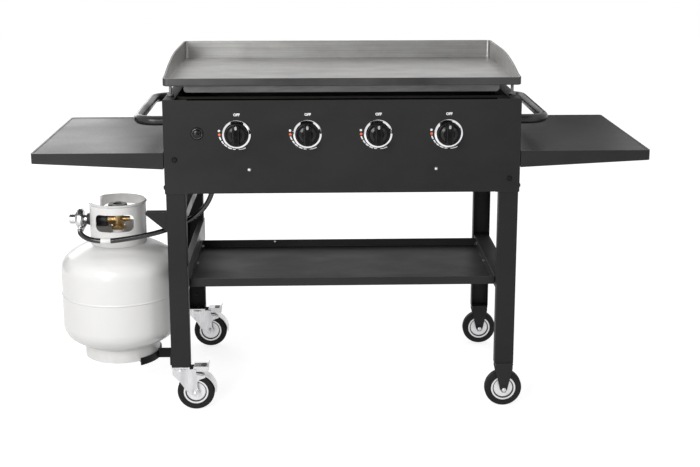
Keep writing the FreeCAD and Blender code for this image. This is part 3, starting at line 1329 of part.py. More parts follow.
regulator = new_body("regulator_body")
disc, rim = size("regulator_diameter") / 2, size("regulator_depth")
cap, neck = size("regulator_cap") / 2, size("regulator_neck") / 2
throat = neck * 0.8
add_outline(new_sketch(regulator, "XY"), [
    (0, 0), (neck, 0), (neck, throat), (disc * 0.8, throat), (disc, throat + rim * 0.3),
    (disc, throat + rim * 0.8), (disc * 0.9, throat + rim), (cap * 1.2, throat + rim * 1.4),
    (cap, throat + rim * 1.4), (cap, throat + rim * 2.3), (cap * 0.85, throat + rim * 2.4),
    (0, throat + rim * 2.4),
])
revolve(regulator, regulator.Group[0])
regulator_x = nut_place - nut_length
place(regulator, regulator_x, cylinder_y, outlet, TO_THE_LEFT)
port_x = regulator_x - throat
port_z = outlet - disc * 0.55
port_reach = disc * 1.5
port_end = cylinder_y - port_reach
port = rod("regulator_port", size("hose_diameter") * 1.25, port_reach, port_x, port_end, port_z, ALONG_Y)
keep("regulator", fused("regulator_welded", [regulator, port]))

# Gas hose: from the regulator's port, round the front of the cylinder, behind the front leg and
# up to the manifold's inlet. The points count from the station's middle plane and the panel face.
hose_bore = size("hose_diameter") / 2
hose_start = (port_x, port_end, port_z)
first_point = (port_x, port_end - size("hose_straight"), port_z)
hose_end = (inlet_x, size("manifold_back"), inlet_end)
HOSE_BETWEEN = [
    (-680.5, 45, 470), (-655, 28.5, 463.5), (-614, 25.5, 461), (-571, 29, 465), (-525, 33, 472),
    (-484, 39, 480), (-446, 49, 490), (-406, 57, 506), (-372, 58, 529), (-345, 53, 567), (-331, 45, 622),
]
SHARE_OF_RUN = 0.45


def hose_path(points):
    """Straight runs joined by tangent arcs, and the arcs' radii."""
    edges, radii, last = [], [], points[0]
    for before, corner, after in zip(points, points[1:], points[2:]):
        back, ahead = (before - corner), (after - corner)
        shorter = min(back.Length, ahead.Length)
        half_turn = (math.pi - back.getAngle(ahead)) / 2
        radii.append(SHARE_OF_RUN * shorter / math.tan(half_turn))
        setback = SHARE_OF_RUN * shorter
        back.normalize()
        ahead.normalize()
        middle = back + ahead
        middle.normalize()
        depth = radii[-1] / math.cos(half_turn) - radii[-1]
        start, end = corner + back * setback, corner + ahead * setback
        edges.append(Part.LineSegment(last, start).toShape())
        edges.append(Part.Arc(start, corner + middle * depth, end).toShape())
        last = end
    edges.append(Part.LineSegment(last, points[-1]).toShape())
    return Part.Wire(edges), radii


def in_station(point):
    """A point of the hose's route as a vector in the station's frame."""
    x, y, z = [as_size(part) for part in point]
    return Vector(x.value, (y + size("front_face_place")).value, z.value)


route = [in_station(point) for point in [hose_start, first_point] + HOSE_BETWEEN + [hose_end]]
path, radii = hose_path(route)
ring = Part.Wire(Part.Circle(route[0], route[1] - route[0], hose_bore.value).toShape())
tube = path.makePipeShell([ring], True, False)
hose = doc.addObject("Part::Feature", "gas_hose")
hose.Shape = tube
keep("gas_hose", hose)
section = math.pi * hose_bore.value ** 2
print("hose length", round(path.Length), "radii", [round(r) for r in radii])
print("hose volume over section times length", round(tube.Volume / (section * path.Length), 4))

# Cylinder holder: a half band round the foot ring with a ledge, on an arm from the front left leg
holder = new_body("holder_band")
band_inner = ring_wide / 2 + size("holder_gap")
band_outer = band_inner + size("holder_sheet")
ledge_inner = band_inner - size("holder_ledge")
turn = math.radians(size("holder_turn").value)
ahead, aside = math.cos(turn), math.sin(turn)
add_outline(new_sketch(holder, "XY"), [
    (band_outer * ahead, -band_outer * aside), (band_outer, 0, band_outer, 1),
    (band_outer * ahead, band_outer * aside, band_outer, 1), (band_inner * ahead, band_inner * aside),
    (band_inner, 0, band_inner, -1), (band_inner * ahead, -band_inner * aside, band_inner, -1),
])
pad(holder, holder.Group[0], size("holder_height"))
ledge = new_sketch(holder, "XY", size("holder_drop"))
add_outline(ledge, [
    (band_outer * ahead, -band_outer * aside), (band_outer, 0, band_outer, 1),
    (band_outer * ahead, band_outer * aside, band_outer, 1), (ledge_inner * ahead, ledge_inner * aside),
    (ledge_inner, 0, ledge_inner, -1), (ledge_inner * ahead, -ledge_inner * aside, ledge_inner, -1),
])
pad(holder, ledge, size("holder_sheet"), ahead=False)
holder_base = size("cylinder_foot") - size("holder_drop")
place(holder, cylinder_x, cylinder_y, holder_base)
arm_sheet, arm_tall = size("holder_sheet"), size("holder_arm_height")
arm_y = cylinder_y - size("holder_arm_front")
band_middle = band_outer - arm_sheet / 2
arm_start = (band_middle * band_middle - size("holder_arm_front") * size("holder_arm_front")).root()
arm = block("holder_arm", cylinder_x + arm_start, arm_y, holder_base,
            -leg_outer - cylinder_x - arm_start, arm_sheet, arm_tall)
leg_plate = new_body("holder_leg_plate")
flange_half = (size("leg_depth") - leg_sheet) / 2
low, high = holder_base, size("holder_arm_base")
low_end = arm_y + arm_sheet
knee = low_end - (high - low)
add_outline(new_sketch(leg_plate, "YZ"), [
    (leg_backs["front"] - flange_half, high), (knee, high), (low_end, low), (low_end, low + arm_tall),
    (knee, high + arm_tall), (leg_backs["front"] - flange_half, high + arm_tall),
])
pad(leg_plate, leg_plate.Group[0], arm_sheet)
place(leg_plate, -leg_outer - arm_sheet, 0, 0)
keep("cylinder_holder", fused("holder_welded", [holder, arm, leg_plate]))

# Grease cup: an open cup below the drain that hooks over the rear panel
cup = new_body("grease_cup_body")
cup_wide, cup_deep, thin = size("cup_width") / 2, size("cup_depth"), size("cup_sheet")
cup_corner = size("cup_corner")
add_outline(new_sketch(cup, "XY"), rounded_rectangle(-cup_wide, 0, cup_wide, cup_deep, cup_corner))
pad(cup, cup.Group[0], size("cup_height"))
room = new_sketch(cup, "XY", thin)
inside = (-cup_wide + thin, thin, cup_wide - thin, cup_deep - thin)
add_outline(room, rounded_rectangle(*inside, cup_corner - thin))
pocket(cup, room, size("cup_height"))
hook = new_sketch(cup, "YZ", -cup_wide * 0.4)
cup_top, over = size("cup_height"), size("cup_hook")
hook_seat = cup_top + sheet
add_outline(hook, [
    (0, cup_top - thin), (thin, cup_top - thin), (thin, hook_seat + thin), (-over, hook_seat + thin),
    (-over, hook_seat), (0, hook_seat),
])
pad(cup, hook, cup_wide * 0.8)
cup_base = body_top - hook_seat
keep("grease_cup", place(cup, size("drain_side"), size("body_depth"), cup_base))


# Bolts: pivots through the panels, locks and handle bolts through the side walls
def make_bolt(x, y, z, turn, grip, nut=True):
    """A bolt with its head at x, y, z; its nut, if any, sits past the sheets that it grips."""
    made = new_body("frame_bolt")
    shank, head, tall = size("bolt_diameter") / 2, size("bolt_head") / 2, size("bolt_head_height")
    outline = [(0, -tall), (head * 0.6, -tall), (head, -tall * 0.3), (head, 0), (shank, 0), (shank, grip)]
    if nut:
        outline += [(head * 0.9, grip), (head * 0.9, grip + tall), (0, grip + tall)]
    else:
        outline += [(0, grip)]
    revolve(made, add_outline(new_sketch(made, "XZ"), outline))
    return place(made, x, y, z, turn)


BACKWARDS = Rotation(Vector(1, 0, 0), 90)
LEFTWARDS = Rotation(Vector(0, 1, 0), -90)
sheet_grip = sheet + gap + leg_sheet
handle_backs = (size("handle_front"), size("handle_front") + size("handle_span"))
bolts = []
for name, side in SIDES.items():
    x, z = leg_middle * side, size(name + "_pivot")
    inward, outward = (ALONG_X, LEFTWARDS) if side < 0 else (LEFTWARDS, ALONG_X)
    bolts.append(make_bolt(x, 0, z, ALONG_Y, sheet_grip))
    bolts.append(make_bolt(x, size("body_depth"), z, BACKWARDS, sheet_grip))
    for back in leg_backs.values():
        bolts.append(make_bolt(half_width * side, back, lock_height, inward, sheet_grip))
    wall_inside = (half_width - sheet) * side
    for back in handle_backs:
        grip = sheet + size("handle_plug") / 2
        bolts.append(make_bolt(wall_inside, back, handle_height, outward, grip, nut=False))
keep("frame_bolts", grouped("frame_bolt_set", bolts))


# Checks and export
doc.recompute()
for thing in doc.Objects:
    if "Invalid" in thing.State or "Error" in thing.State:
        raise RuntimeError("%s did not build: %s" % (thing.Label, thing.State))
for label, thing in nodes.items():
    if thing.Shape.isNull() or not thing.Shape.isValid():
        raise RuntimeError(label + " has no valid shape")
os.makedirs("parts", exist_ok=True)
for label, thing in nodes.items():
    thing.Shape.exportStep("parts/%s.step" % label)
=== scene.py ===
# Outdoor gas griddle station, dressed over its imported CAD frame. Metres, the frame's own axes:
# X to the right, Y from the front to the back, Z up, with the floor at Z = 0.
import json
import math
import bmesh
import bpy
from mathutils import Matrix, Vector


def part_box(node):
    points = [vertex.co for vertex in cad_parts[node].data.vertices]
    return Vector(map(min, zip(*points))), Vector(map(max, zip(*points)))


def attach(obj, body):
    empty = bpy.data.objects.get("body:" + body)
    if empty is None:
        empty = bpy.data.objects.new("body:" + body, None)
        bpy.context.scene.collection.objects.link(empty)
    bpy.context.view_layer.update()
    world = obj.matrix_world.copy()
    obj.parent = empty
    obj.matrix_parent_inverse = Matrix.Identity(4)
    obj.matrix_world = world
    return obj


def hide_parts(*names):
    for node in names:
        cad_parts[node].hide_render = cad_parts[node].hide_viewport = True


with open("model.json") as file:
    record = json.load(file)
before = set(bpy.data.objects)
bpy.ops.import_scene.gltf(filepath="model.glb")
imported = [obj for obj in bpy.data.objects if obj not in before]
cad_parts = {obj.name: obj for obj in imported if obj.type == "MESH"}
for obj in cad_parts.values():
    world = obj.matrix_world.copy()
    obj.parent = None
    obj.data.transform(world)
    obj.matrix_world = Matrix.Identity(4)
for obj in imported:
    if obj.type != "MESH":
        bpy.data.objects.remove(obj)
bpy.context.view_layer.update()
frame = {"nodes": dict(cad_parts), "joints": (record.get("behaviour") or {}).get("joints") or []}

# What the frame gives: the CAD meshes, a point on each hinge's axis, and the panel's front
nodes = frame["nodes"]
PIVOTS = {joint["name"]: joint["pos_m"] for joint in frame["joints"] if "pos_m" in joint}
KNOB_MIDDLES = {number: PIVOTS["knob_%d_turn" % number][0] for number in range(1, 5)}
KNOB_HEIGHT = PIVOTS["knob_1_turn"][2]
PANEL_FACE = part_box("front_panel")[0].y


def added(name, data):
    """Puts data into the scene as an object."""
    thing = bpy.data.objects.new(name, data)
    bpy.context.collection.objects.link(thing)
    return thing


def faced(spot, aim, front):
    """Rotation that turns an object at a spot to face a point with one of its axes."""
    return (Vector(aim) - Vector(spot)).to_track_quat(front, "Y").to_euler()


# Camera: stands where the photographer stood, 3 m before the front panel and 1.3 m up, with a
# long lens that looks slightly down and is shifted a little, as the upright legs need.
camera_data = bpy.data.cameras.new("camera")
camera_data.sensor_width = 36
camera_data.lens = 62.115
camera_data.shift_y = -0.1
camera_data.clip_end = 60
DEGREES_DOWN, DEGREES_RIGHT = 11.972, 1.824
camera = added("camera", camera_data)
camera.location = (-0.0782, -3.2959, 1.3123)
camera.rotation_euler = (math.radians(90 - DEGREES_DOWN), 0, math.radians(-DEGREES_RIGHT))
bpy.context.scene.camera = camera
bpy.context.scene.view_settings.view_transform = "Standard"


# Studio: an even white surround that shows in metal and gloss, a pale floor that keeps the
# object's soft shadow, large soft lamps round the object, and black cards beside its chrome.
world = bpy.data.worlds.new("studio")
world.use_nodes = True
bpy.context.scene.world = world
sky, sky_links = world.node_tree.nodes, world.node_tree.links
even = sky["Background"]
even.inputs["Color"].default_value = (1, 1, 1, 1)
even.inputs["Strength"].default_value = 0.5
shown = sky.new("ShaderNodeBackground")
shown.inputs["Color"].default_value = (1, 1, 1, 1)
shown.inputs["Strength"].default_value = 1.0
path = sky.new("ShaderNodeLightPath")
seen = sky.new("ShaderNodeMath")
seen.operation = "ADD"
seen_or_mirrored = sky.new("ShaderNodeMath")
seen_or_mirrored.operation = "ADD"
seen_or_mirrored.use_clamp = True
choose = sky.new("ShaderNodeMixShader")
sky_links.new(path.outputs["Is Camera Ray"], seen.inputs[0])
sky_links.new(path.outputs["Is Glossy Ray"], seen.inputs[1])
sky_links.new(seen.outputs[0], seen_or_mirrored.inputs[0])
sky_links.new(path.outputs["Is Transmission Ray"], seen_or_mirrored.inputs[1])
sky_links.new(seen_or_mirrored.outputs[0], choose.inputs[0])
sky_links.new(even.outputs[0], choose.inputs[1])
sky_links.new(shown.outputs[0], choose.inputs[2])
sky_links.new(choose.outputs[0], sky["World Output"].inputs["Surface"])


def softbox(name, spot, aim, width, height, power):
    """A large soft lamp that faces a point."""
    data = bpy.data.lights.new(name, "AREA")
    data.shape = "RECTANGLE"
    data.size = width
    data.size_y = height
    data.energy = power
    lamp = added(name, data)
    lamp.location = spot
    lamp.rotation_euler = faced(spot, aim, "-Z")
    lamp.visible_camera = False
    return lamp


# Where each lamp stands, what it faces, its width and height in metres and its power in watts
softbox("key_softbox", (-1.4, -2.4, 1.7), (-0.1, 0, 0.5), 1.2, 1.2, 44)
softbox("fill_softbox", (2.6, -2.4, 2.2), (0, 0, 0.6), 1.6, 1.6, 6)
top_softbox = softbox("top_softbox", (-0.3, -0.6, 3.2), (-0.1, 0, 0.5), 1.6, 1.6, 14)
top_softbox.visible_glossy = False
softbox("back_softbox", (-1.9, 2.7, 1.55), (-0.62, 0, 0.7), 1.8, 1.0, 19)
softbox("side_softbox", (-1.5, -3.2, 0.35), (-0.45, -0.27, 0.7), 0.8, 0.8, 9)


class Finish:
    """A finish in the making: its shader, and patterns laid over a piece's own coordinates."""

    def __init__(self, name, colour, roughness, metallic=0.0, **sockets):
        self.material = bpy.data.materials.new(name)
        self.material.use_nodes = True
        self.tree = self.material.node_tree
        self.shader = self.tree.nodes["Principled BSDF"]
        self.set("Base Color", (*colour, 1))
        self.set("Roughness", roughness)
        self.set("Metallic", metallic)
        for socket, value in sockets.items():
            self.set(socket.replace("_", " "), value)
        self.place = self.tree.nodes.new("ShaderNodeTexCoord").outputs["Object"]

    def connect(self, socket, value):
        """Sets a socket, or links it where the value is another node's output."""
        if isinstance(value, bpy.types.NodeSocket):
            self.tree.links.new(value, socket)
        else:
            socket.default_value = value

    def set(self, socket, value):
        """Sets or links one socket of the shader."""
        self.connect(self.shader.inputs[socket], value)

    def add(self, kind, inputs, output=0, **settings):
        """Adds a node and returns one of its outputs."""
        made = self.tree.nodes.new("ShaderNode" + kind)
        for setting, value in settings.items():
            setattr(made, setting, value)
        for socket, value in inputs.items():
            self.connect(made.inputs[socket], value)
        return made.outputs[output]

    def about(self, centre):
        """Coordinates counted from a point of the piece."""
        return self.vector("SUBTRACT", self.place, tuple(centre))

    def vector(self, operation, first, second=(0, 0, 0), output=0):
        """Vector arithmetic."""
        return self.add("VectorMath", {0: first, 1: second}, output, operation=operation)

    def height(self):
        """Height above the floor."""
        return self.add("SeparateXYZ", {"Vector": self.place}, output=2)

    def noise(self, size, stretch=(1, 1, 1), detail=3.0, rough=0.55):
        """Cloudy noise whose blobs are about size across, times the stretch."""
        scale = tuple(1 / part for part in stretch)
        laid = self.add("Mapping", {"Vector": self.place, "Scale": scale})
        inputs = {"Vector": laid, "Scale": 1 / size, "Detail": detail, "Roughness": rough}
        return self.add("TexNoise", inputs)

    def span(self, value, low, high, to_low=0.0, to_high=1.0):
        """Maps a range of values onto another one, held at both ends."""
        inputs = {"Value": value, "From Min": low, "From Max": high, "To Min": to_low, "To Max": to_high}
        return self.add("MapRange", inputs)

    def times(self, first, second):
        """Product of two values."""
        return self.add("Math", {0: first, 1: second}, operation="MULTIPLY")

    def plus(self, first, second):
        """Sum of two values."""
        return self.add("Math", {0: first, 1: second}, operation="ADD")

    def shade(self, factor, low, high):
        """A colour between two colours."""
        ends = [end if isinstance(end, bpy.types.NodeSocket) else (*end, 1) for end in (low, high)]
        return self.add("Mix", {0: factor, 6: ends[0], 7: ends[1]}, output=2, data_type="RGBA")

    def tone(self, pattern, first, second, start=0.3, end=0.7):
        """Base colour from the first colour to the second, as a pattern runs from start to end."""
        self.set("Base Color", self.shade(self.span(pattern, start, end), first, second))

    def sheen(self, pattern, first, second, start=0.3, end=0.7):
        """Roughness from the first value to the second, as a pattern runs from start to end."""
        self.set("Roughness", self.span(pattern, start, end, first, second))

    def edges(self, radius, low=0.02, high=0.25):
        """One along a piece's sharp edges, none on its flats."""
        rounded = self.add("Bevel", {"Radius": radius}, samples=4)
        flat = self.add("NewGeometry", {}, output=1)
        match = self.vector("DOT_PRODUCT", rounded, flat, output=1)
        off = self.add("Math", {0: 1.0, 1: match}, operation="SUBTRACT")
        return self.span(off, low, high)

    def bump(self, height, strength, distance, radius=None):
        """Relief in the surface, with its sharp edges broken where a radius is given."""
        inputs = {"Height": height, "Strength": strength, "Distance": distance}
        if radius:
            inputs["Normal"] = self.add("Bevel", {"Radius": radius}, samples=4)
        self.set("Normal", self.add("Bump", inputs))


def dress(finish, *names):
    """Gives CAD nodes a finish."""
    for name in names:
        for holder in nodes[name].material_slots:
            holder.material = finish.material


def sheet_of_paper(name, half_wide, half_tall, paper):
    """A flat rectangle for the studio, round its own middle."""
    sheet = bpy.data.meshes.new(name)
    corners = [(x * half_wide, y * half_tall, 0) for x, y in ((-1, -1), (1, -1), (1, 1), (-1, 1))]
    sheet.from_pydata(corners, [], [(0, 1, 2, 3)])
    sheet.materials.append(paper.material)
    return added(name, sheet)


def black_card(name, spot, aim, width, height):
    """A black card that only gloss and metal see, as a photographer sets beside chrome."""
    cloth = Finish(name + "_cloth", (0.01, 0.01, 0.01), 1.0, Specular_IOR_Level=0.0)
    card = sheet_of_paper(name, width / 2, height / 2, cloth)
    card.location = spot
    card.rotation_euler = faced(spot, aim, "Z")
    card.visible_camera = False
    card.visible_diffuse = False
    card.visible_shadow = False


# Where each card stands, what it faces, and its width and height
black_card("front_card", (0.1, -3.9, 0.25), (0.1, 0, 0.6), 2.2, 0.5)
black_card("overhead_card", (-0.25, -1.9, 2.7), (-0.1, -0.3, 0.75), 3.2, 1.9)
black_card("right_card", (2.9, -1.3, 0.9), (0.2, 0, 0.7), 0.7, 1.2)
black_card("left_card", (-3.0, 1.4, 0.5), (-0.62, -0.12, 0.3), 2.2, 1.6)
black_card("rear_card", (1.11, 2.2, 1.1), (0.62, 0, 0.7), 0.5, 0.8)

FLOOR_HALF, FLOOR_DROP, FLOOR_GLOW = 9, 0.0006, 0.78
floor_paper = Finish("floor_paper", (0.5, 0.5, 0.5), 1.0, Specular_IOR_Level=0.0)
rays = floor_paper.tree.nodes.new("ShaderNodeLightPath")
lift = floor_paper.plus(rays.outputs["Is Camera Ray"], rays.outputs["Is Glossy Ray"])
lift = floor_paper.plus(lift, rays.outputs["Is Transmission Ray"])
floor_paper.set("Emission Color", (1, 1, 1, 1))
floor_paper.set("Emission Strength", floor_paper.span(lift, 0.0, 1.0, 0.0, FLOOR_GLOW))
floor = sheet_of_paper("studio_floor", FLOOR_HALF, FLOOR_HALF, floor_paper)
floor.location.z = -FLOOR_DROP


# Sheet steel: panels, walls, legs, braces, shelves and handles are bent or welded low-carbon
# steel, powder coated in a soft black that shows a fine grain, a faint cloudy sheen, and
# slightly thinner, greyer coating along its edges.
BLACK = (0.020, 0.020, 0.0205)
SOFT_BLACK = (0.028, 0.028, 0.029)
PAINTED_SHADE_BLACK = (0.003, 0.003, 0.003)
WORN_EDGE = (0.11, 0.11, 0.112)


def powder_coat(name, sheen=0.42, tone=1.0, uneven=1.0, gloss=0.13, painted_shade_above=None):
    """Black powder coat with its grain; a lower sheen is a glossier coat; above a height, painted shade
    turns up-facing faces black.
    """
    made = Finish(name, BLACK, sheen, Specular_IOR_Level=gloss)
    clouds = made.noise(0.16, (1.6, 1.0, 1.0), 5.0, 0.6)
    specks = made.noise(0.0024, detail=2.0)
    dark = tuple(part * tone for part in BLACK)
    soft = tuple(part * tone for part in SOFT_BLACK)
    body = made.shade(made.span(clouds, 0.35, 0.68), dark, soft)
    rim = made.edges(0.0018, 0.03, 0.3)
    colour = made.shade(made.times(rim, 0.75), body, WORN_EDGE)
    # Painted shade: up-facing faces above the height turn black and lose their gloss, standing in for the
    # plate's shadow on them.
    if painted_shade_above:
        facing = made.add("NewGeometry", {}, output=1)
        facing_up = made.add("SeparateXYZ", {"Vector": facing}, output=2)
        high = made.span(made.height(), painted_shade_above, painted_shade_above + 0.002)
        painted_shade = made.times(high, made.span(facing_up, 0.4, 0.7))
        colour = made.shade(painted_shade, colour, PAINTED_SHADE_BLACK)
        made.set("Specular IOR Level", made.span(painted_shade, 0.0, 1.0, gloss, 0.0))
    made.set("Base Color", colour)
    grain = made.span(specks, 0.3, 0.7, -0.05, 0.05)
    dull = made.span(clouds, 0.3, 0.72, sheen - 0.09 * uneven, sheen + 0.13 * uneven)
    made.set("Roughness", made.plus(dull, grain))
    made.bump(specks, 0.16, 0.0006, 0.0014)
    return made


panel_coat = powder_coat("panel_powder_coat", 0.5)
dress(panel_coat, "rear_panel", "left_side_wall", "right_side_wall")
# The front panel's top flange lies in the plate's shadow, so it gets painted shade above 0.83 m.
front_coat = powder_coat("front_powder_coat", 0.5, painted_shade_above=0.83)
dress(front_coat, "front_panel")
shelf_coat = powder_coat("shelf_powder_coat", 0.4, 1.25, 0.4)
dress(shelf_coat, "left_side_shelf", "right_side_shelf")
tray_coat = powder_coat("tray_powder_coat", 0.48, gloss=0.18)
dress(tray_coat, "bottom_shelf")
leg_coat = powder_coat("leg_powder_coat", 0.52, 0.9)
dress(leg_coat, "front_left_leg", "front_right_leg", "rear_left_leg", "rear_right_leg")
dress(leg_coat, "right_brace", "shelf_brackets")
brace_coat = powder_coat("brace_powder_coat", 0.36, 1.8, gloss=0.3)
dress(brace_coat, "left_braces")
holder_coat = powder_coat("holder_powder_coat", 0.4, 0.35)
dress(holder_coat, "cylinder_holder")
handle_coat = powder_coat("handle_powder_coat", 0.3, gloss=0.34)
dress(handle_coat, "left_handle", "right_handle")


# Griddle plate: one pan of hot rolled steel. Its cooking side is ground bright along its length
# and lightly scratched, its outside is left dark with mill scale and oil, and the ground top
# edge of its walls shines.
PLATE_CORNER, MID_WALL, MID_FLOOR = 0.013, 0.002, 0.874
plate_low, plate_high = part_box("griddle_plate")
plate_middle = (plate_low + plate_high) / 2
plate_reach = (plate_high - plate_low) / 2
core = (plate_reach.x - PLATE_CORNER, plate_reach.y - PLATE_CORNER, 0)
plate_steel = Finish("griddle_steel", (0.3, 0.3, 0.3), 0.36, 1.0)
length_marks = plate_steel.noise(0.0011, (260, 1, 1), 4.0, 0.7)
cross_marks = plate_steel.noise(0.0019, (1, 90, 1), 3.0, 0.6)
stains = plate_steel.noise(0.11, (1.5, 1, 1), 5.0, 0.62)
# One inside the pan: within its rounded outline less half a wall, and above its floor's middle
outward = plate_steel.vector("ABSOLUTE", plate_steel.about(plate_middle))
past_core = plate_steel.vector("MAXIMUM", plate_steel.vector("SUBTRACT", outward, core))
level = plate_steel.vector("MULTIPLY", past_core, (1, 1, 0))
reach = plate_steel.vector("LENGTH", level, output=1)
inner_corner = PLATE_CORNER - MID_WALL
within = plate_steel.span(reach, inner_corner - 0.0002, inner_corner + 0.0002, 1.0, 0.0)
above = plate_steel.span(plate_steel.height(), MID_FLOOR - 0.0005, MID_FLOOR + 0.0005)
inside = plate_steel.times(within, above)
ground = plate_steel.shade(plate_steel.span(length_marks, 0.3, 0.7), (0.3, 0.3, 0.295), (0.5, 0.495, 0.485))
ground = plate_steel.shade(plate_steel.span(stains, 0.42, 0.7, 0.0, 0.45), ground, (0.2, 0.19, 0.18))
patchy = plate_steel.span(stains, 0.3, 0.7)
mill_skin = plate_steel.shade(patchy, (0.045, 0.045, 0.046), (0.075, 0.075, 0.075))
shining = plate_steel.times(plate_steel.edges(0.0012, 0.03, 0.25), 0.8)
outside = plate_steel.shade(shining, mill_skin, (0.5, 0.5, 0.49))
plate_steel.set("Base Color", plate_steel.shade(inside, outside, ground))
plate_steel.set("Metallic", plate_steel.span(inside, 0.0, 1.0, 0.75, 1.0))
marks = plate_steel.plus(length_marks, plate_steel.times(cross_marks, 0.4))
scratched = plate_steel.span(marks, 0.4, 1.0, 0.26, 0.44)
plate_steel.set("Roughness", plate_steel.plus(scratched, plate_steel.span(stains, 0.3, 0.7, 0.0, 0.1)))
plate_steel.bump(marks, 0.14, 0.0004, 0.0012)
dress(plate_steel, "griddle_plate")

# Stiffeners and feet: steel bar welded below the plate and its four levelling feet, both left
# dark grey with mill scale.
dark_steel = Finish("dark_steel", (0.1, 0.1, 0.1), 0.46, 0.4, Specular_IOR_Level=0.3)
dark_steel.tone(dark_steel.noise(0.02, (4, 1, 1), 4.0), (0.19, 0.19, 0.192), (0.28, 0.28, 0.277))
dark_steel.bump(dark_steel.noise(0.0016), 0.15, 0.0004, 0.0012)
dress(dark_steel, "griddle_stiffeners", "griddle_feet")

# Burner rail and heat shield: folded sheet inside the box, black with soot from the flames.
# They are screwed between the side walls.
sooty_steel = Finish("sooty_steel", (0.02, 0.02, 0.02), 0.6, 0.3, Specular_IOR_Level=0.1)
soot_cloud = sooty_steel.noise(0.05, (3, 1, 1), 4.0)
sooty_steel.set("Base Color", sooty_steel.shade(soot_cloud, (0.008, 0.008, 0.008), (0.05, 0.048, 0.045)))
sooty_steel.bump(sooty_steel.noise(0.0012), 0.12, 0.0004, 0.001)
dress(sooty_steel, "burner_rail", "heat_shield")

# Burners: rolled stainless tubes with a fine drawn grain and a little heat tint. Two rows of small
# flame holes are drilled along each tube after rolling; each is drawn as a near-black disc,
# painted shade for the dark inside of the tube.
bare_steel = Finish("bare_steel", (0.55, 0.55, 0.54), 0.34, 1.0)
drawn = bare_steel.noise(0.0012, (60, 1, 1), 3.0)
tint = bare_steel.span(bare_steel.noise(0.07, detail=3.0), 0.45, 0.75, 0.0, 0.6)
bare_steel.set("Base Color", bare_steel.shade(tint, (0.6, 0.6, 0.595), (0.46, 0.42, 0.36)))
bare_steel.sheen(drawn, 0.26, 0.44)
bare_steel.bump(drawn, 0.1, 0.0003, 0.001)
dress(bare_steel, "burners")
# Painted shade: the flame holes are near-black discs laid on the tube, not openings.
painted_port_shade = Finish("painted_port_shade", (0.004, 0.004, 0.004), 0.8)
painted_port_shade.sheen(painted_port_shade.noise(0.002), 0.7, 0.95)
BURNER_RADIUS, BURNER_HEIGHT = 0.0127, 0.747
PORTS, FIRST_PORT, PORT_PITCH, PORT_RADIUS, PORT_RELIEF = 34, -0.118, 0.009, 0.0021, 0.0006


def node_tree_of(name, inputs):
    """An empty Geometry Nodes tree with named inputs, its input and output nodes."""
    tree = bpy.data.node_groups.new(name, "GeometryNodeTree")
    tree.interface.new_socket("Geometry", in_out="INPUT", socket_type="NodeSocketGeometry")
    for label, value in inputs.items():
        kind = "NodeSocketInt" if isinstance(value, int) else "NodeSocketFloat"
        tree.interface.new_socket(label, in_out="INPUT", socket_type=kind).default_value = value
    tree.interface.new_socket("Geometry", in_out="OUTPUT", socket_type="NodeSocketGeometry")
    return tree, tree.nodes.new("NodeGroupInput"), tree.nodes.new("NodeGroupOutput")


def add_node(tree, kind, inputs):
    """Adds one node to a tree, its inputs set or linked by name."""
    made = tree.nodes.new(kind)
    for socket, value in inputs.items():
        if isinstance(value, bpy.types.NodeSocket):
            tree.links.new(value, made.inputs[socket])
        else:
            made.inputs[socket].default_value = value
    return made


def strewn(tree, start, shape, turn, finish):
    """Puts a shape on every point, makes it real and paints it; returns the painted geometry."""
    spread = add_node(tree, "GeometryNodeInstanceOnPoints", {
        "Points": start.outputs["Geometry"], "Instance": shape, "Rotation": turn,
    })
    real = add_node(tree, "GeometryNodeRealizeInstances", {"Geometry": spread.outputs[0]})
    paint = add_node(tree, "GeometryNodeSetMaterial", {
        "Geometry": real.outputs[0], "Material": finish.material,
    })
    return paint.outputs[0]


def fitted(name, mesh, body):
    """Adds a plain mesh as a piece that rides on a body."""
    piece = added(name, mesh)
    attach(piece, body)
    return piece


def grown(name, spots, tree, values, body):
    """Runs a tree on loose points and leaves the result as a plain mesh that rides on a body."""
    carrier = bpy.data.meshes.new(name + "_spots")
    carrier.from_pydata(spots, [], [])
    base = added(name + "_carrier", carrier)
    modifier = base.modifiers.new("grow", "NODES")
    modifier.node_group = tree
    for item in tree.interface.items_tree:
        if item.in_out == "INPUT" and item.name in values:
            modifier[item.identifier] = values[item.name]
    bpy.context.view_layer.update()
    evaluated = base.evaluated_get(bpy.context.evaluated_depsgraph_get())
    mesh = bpy.data.meshes.new_from_object(evaluated)
    bpy.data.objects.remove(base)
    mesh.name = name
    return fitted(name, mesh, body)


port_tree, port_in, port_out = node_tree_of("burner_ports", {"Port radius": PORT_RADIUS})
port_disc = add_node(port_tree, "GeometryNodeMeshCylinder", {
    "Vertices": 8, "Depth": PORT_RELIEF, "Radius": port_in.outputs["Port radius"],
})
port_turn = add_node(port_tree, "FunctionNodeAlignRotationToVector", {"Vector": (1, 0, 0)})
port_paint = strewn(port_tree, port_in, port_disc.outputs["Mesh"], port_turn.outputs[0], painted_port_shade)
port_tree.links.new(port_paint, port_out.inputs[0])
port_spots = []
for middle in KNOB_MIDDLES.values():
    for step in range(PORTS):
        depth = FIRST_PORT + step * PORT_PITCH
        port_spots += [(middle + side * BURNER_RADIUS, depth, BURNER_HEIGHT) for side in (-1, 1)]
grown("burner_ports", port_spots, port_tree, {}, "stand")


def clock(steps):
    """Cosine and sine at even steps round a circle."""
    angles = [2 * math.pi * step / steps for step in range(steps)]
    return [(math.cos(angle), math.sin(angle)) for angle in angles]


def skinned(made, rows, closed=True):
    """Lays faces between rings of vertices, and from the last ring to the first where closed."""
    following = rows[1:] + rows[:1] if closed else rows[1:]
    for near, far in zip(rows, following):
        for step in range(len(near)):
            later = (step + 1) % len(near)
            made.faces.new((near[step], far[step], far[later], near[later]))


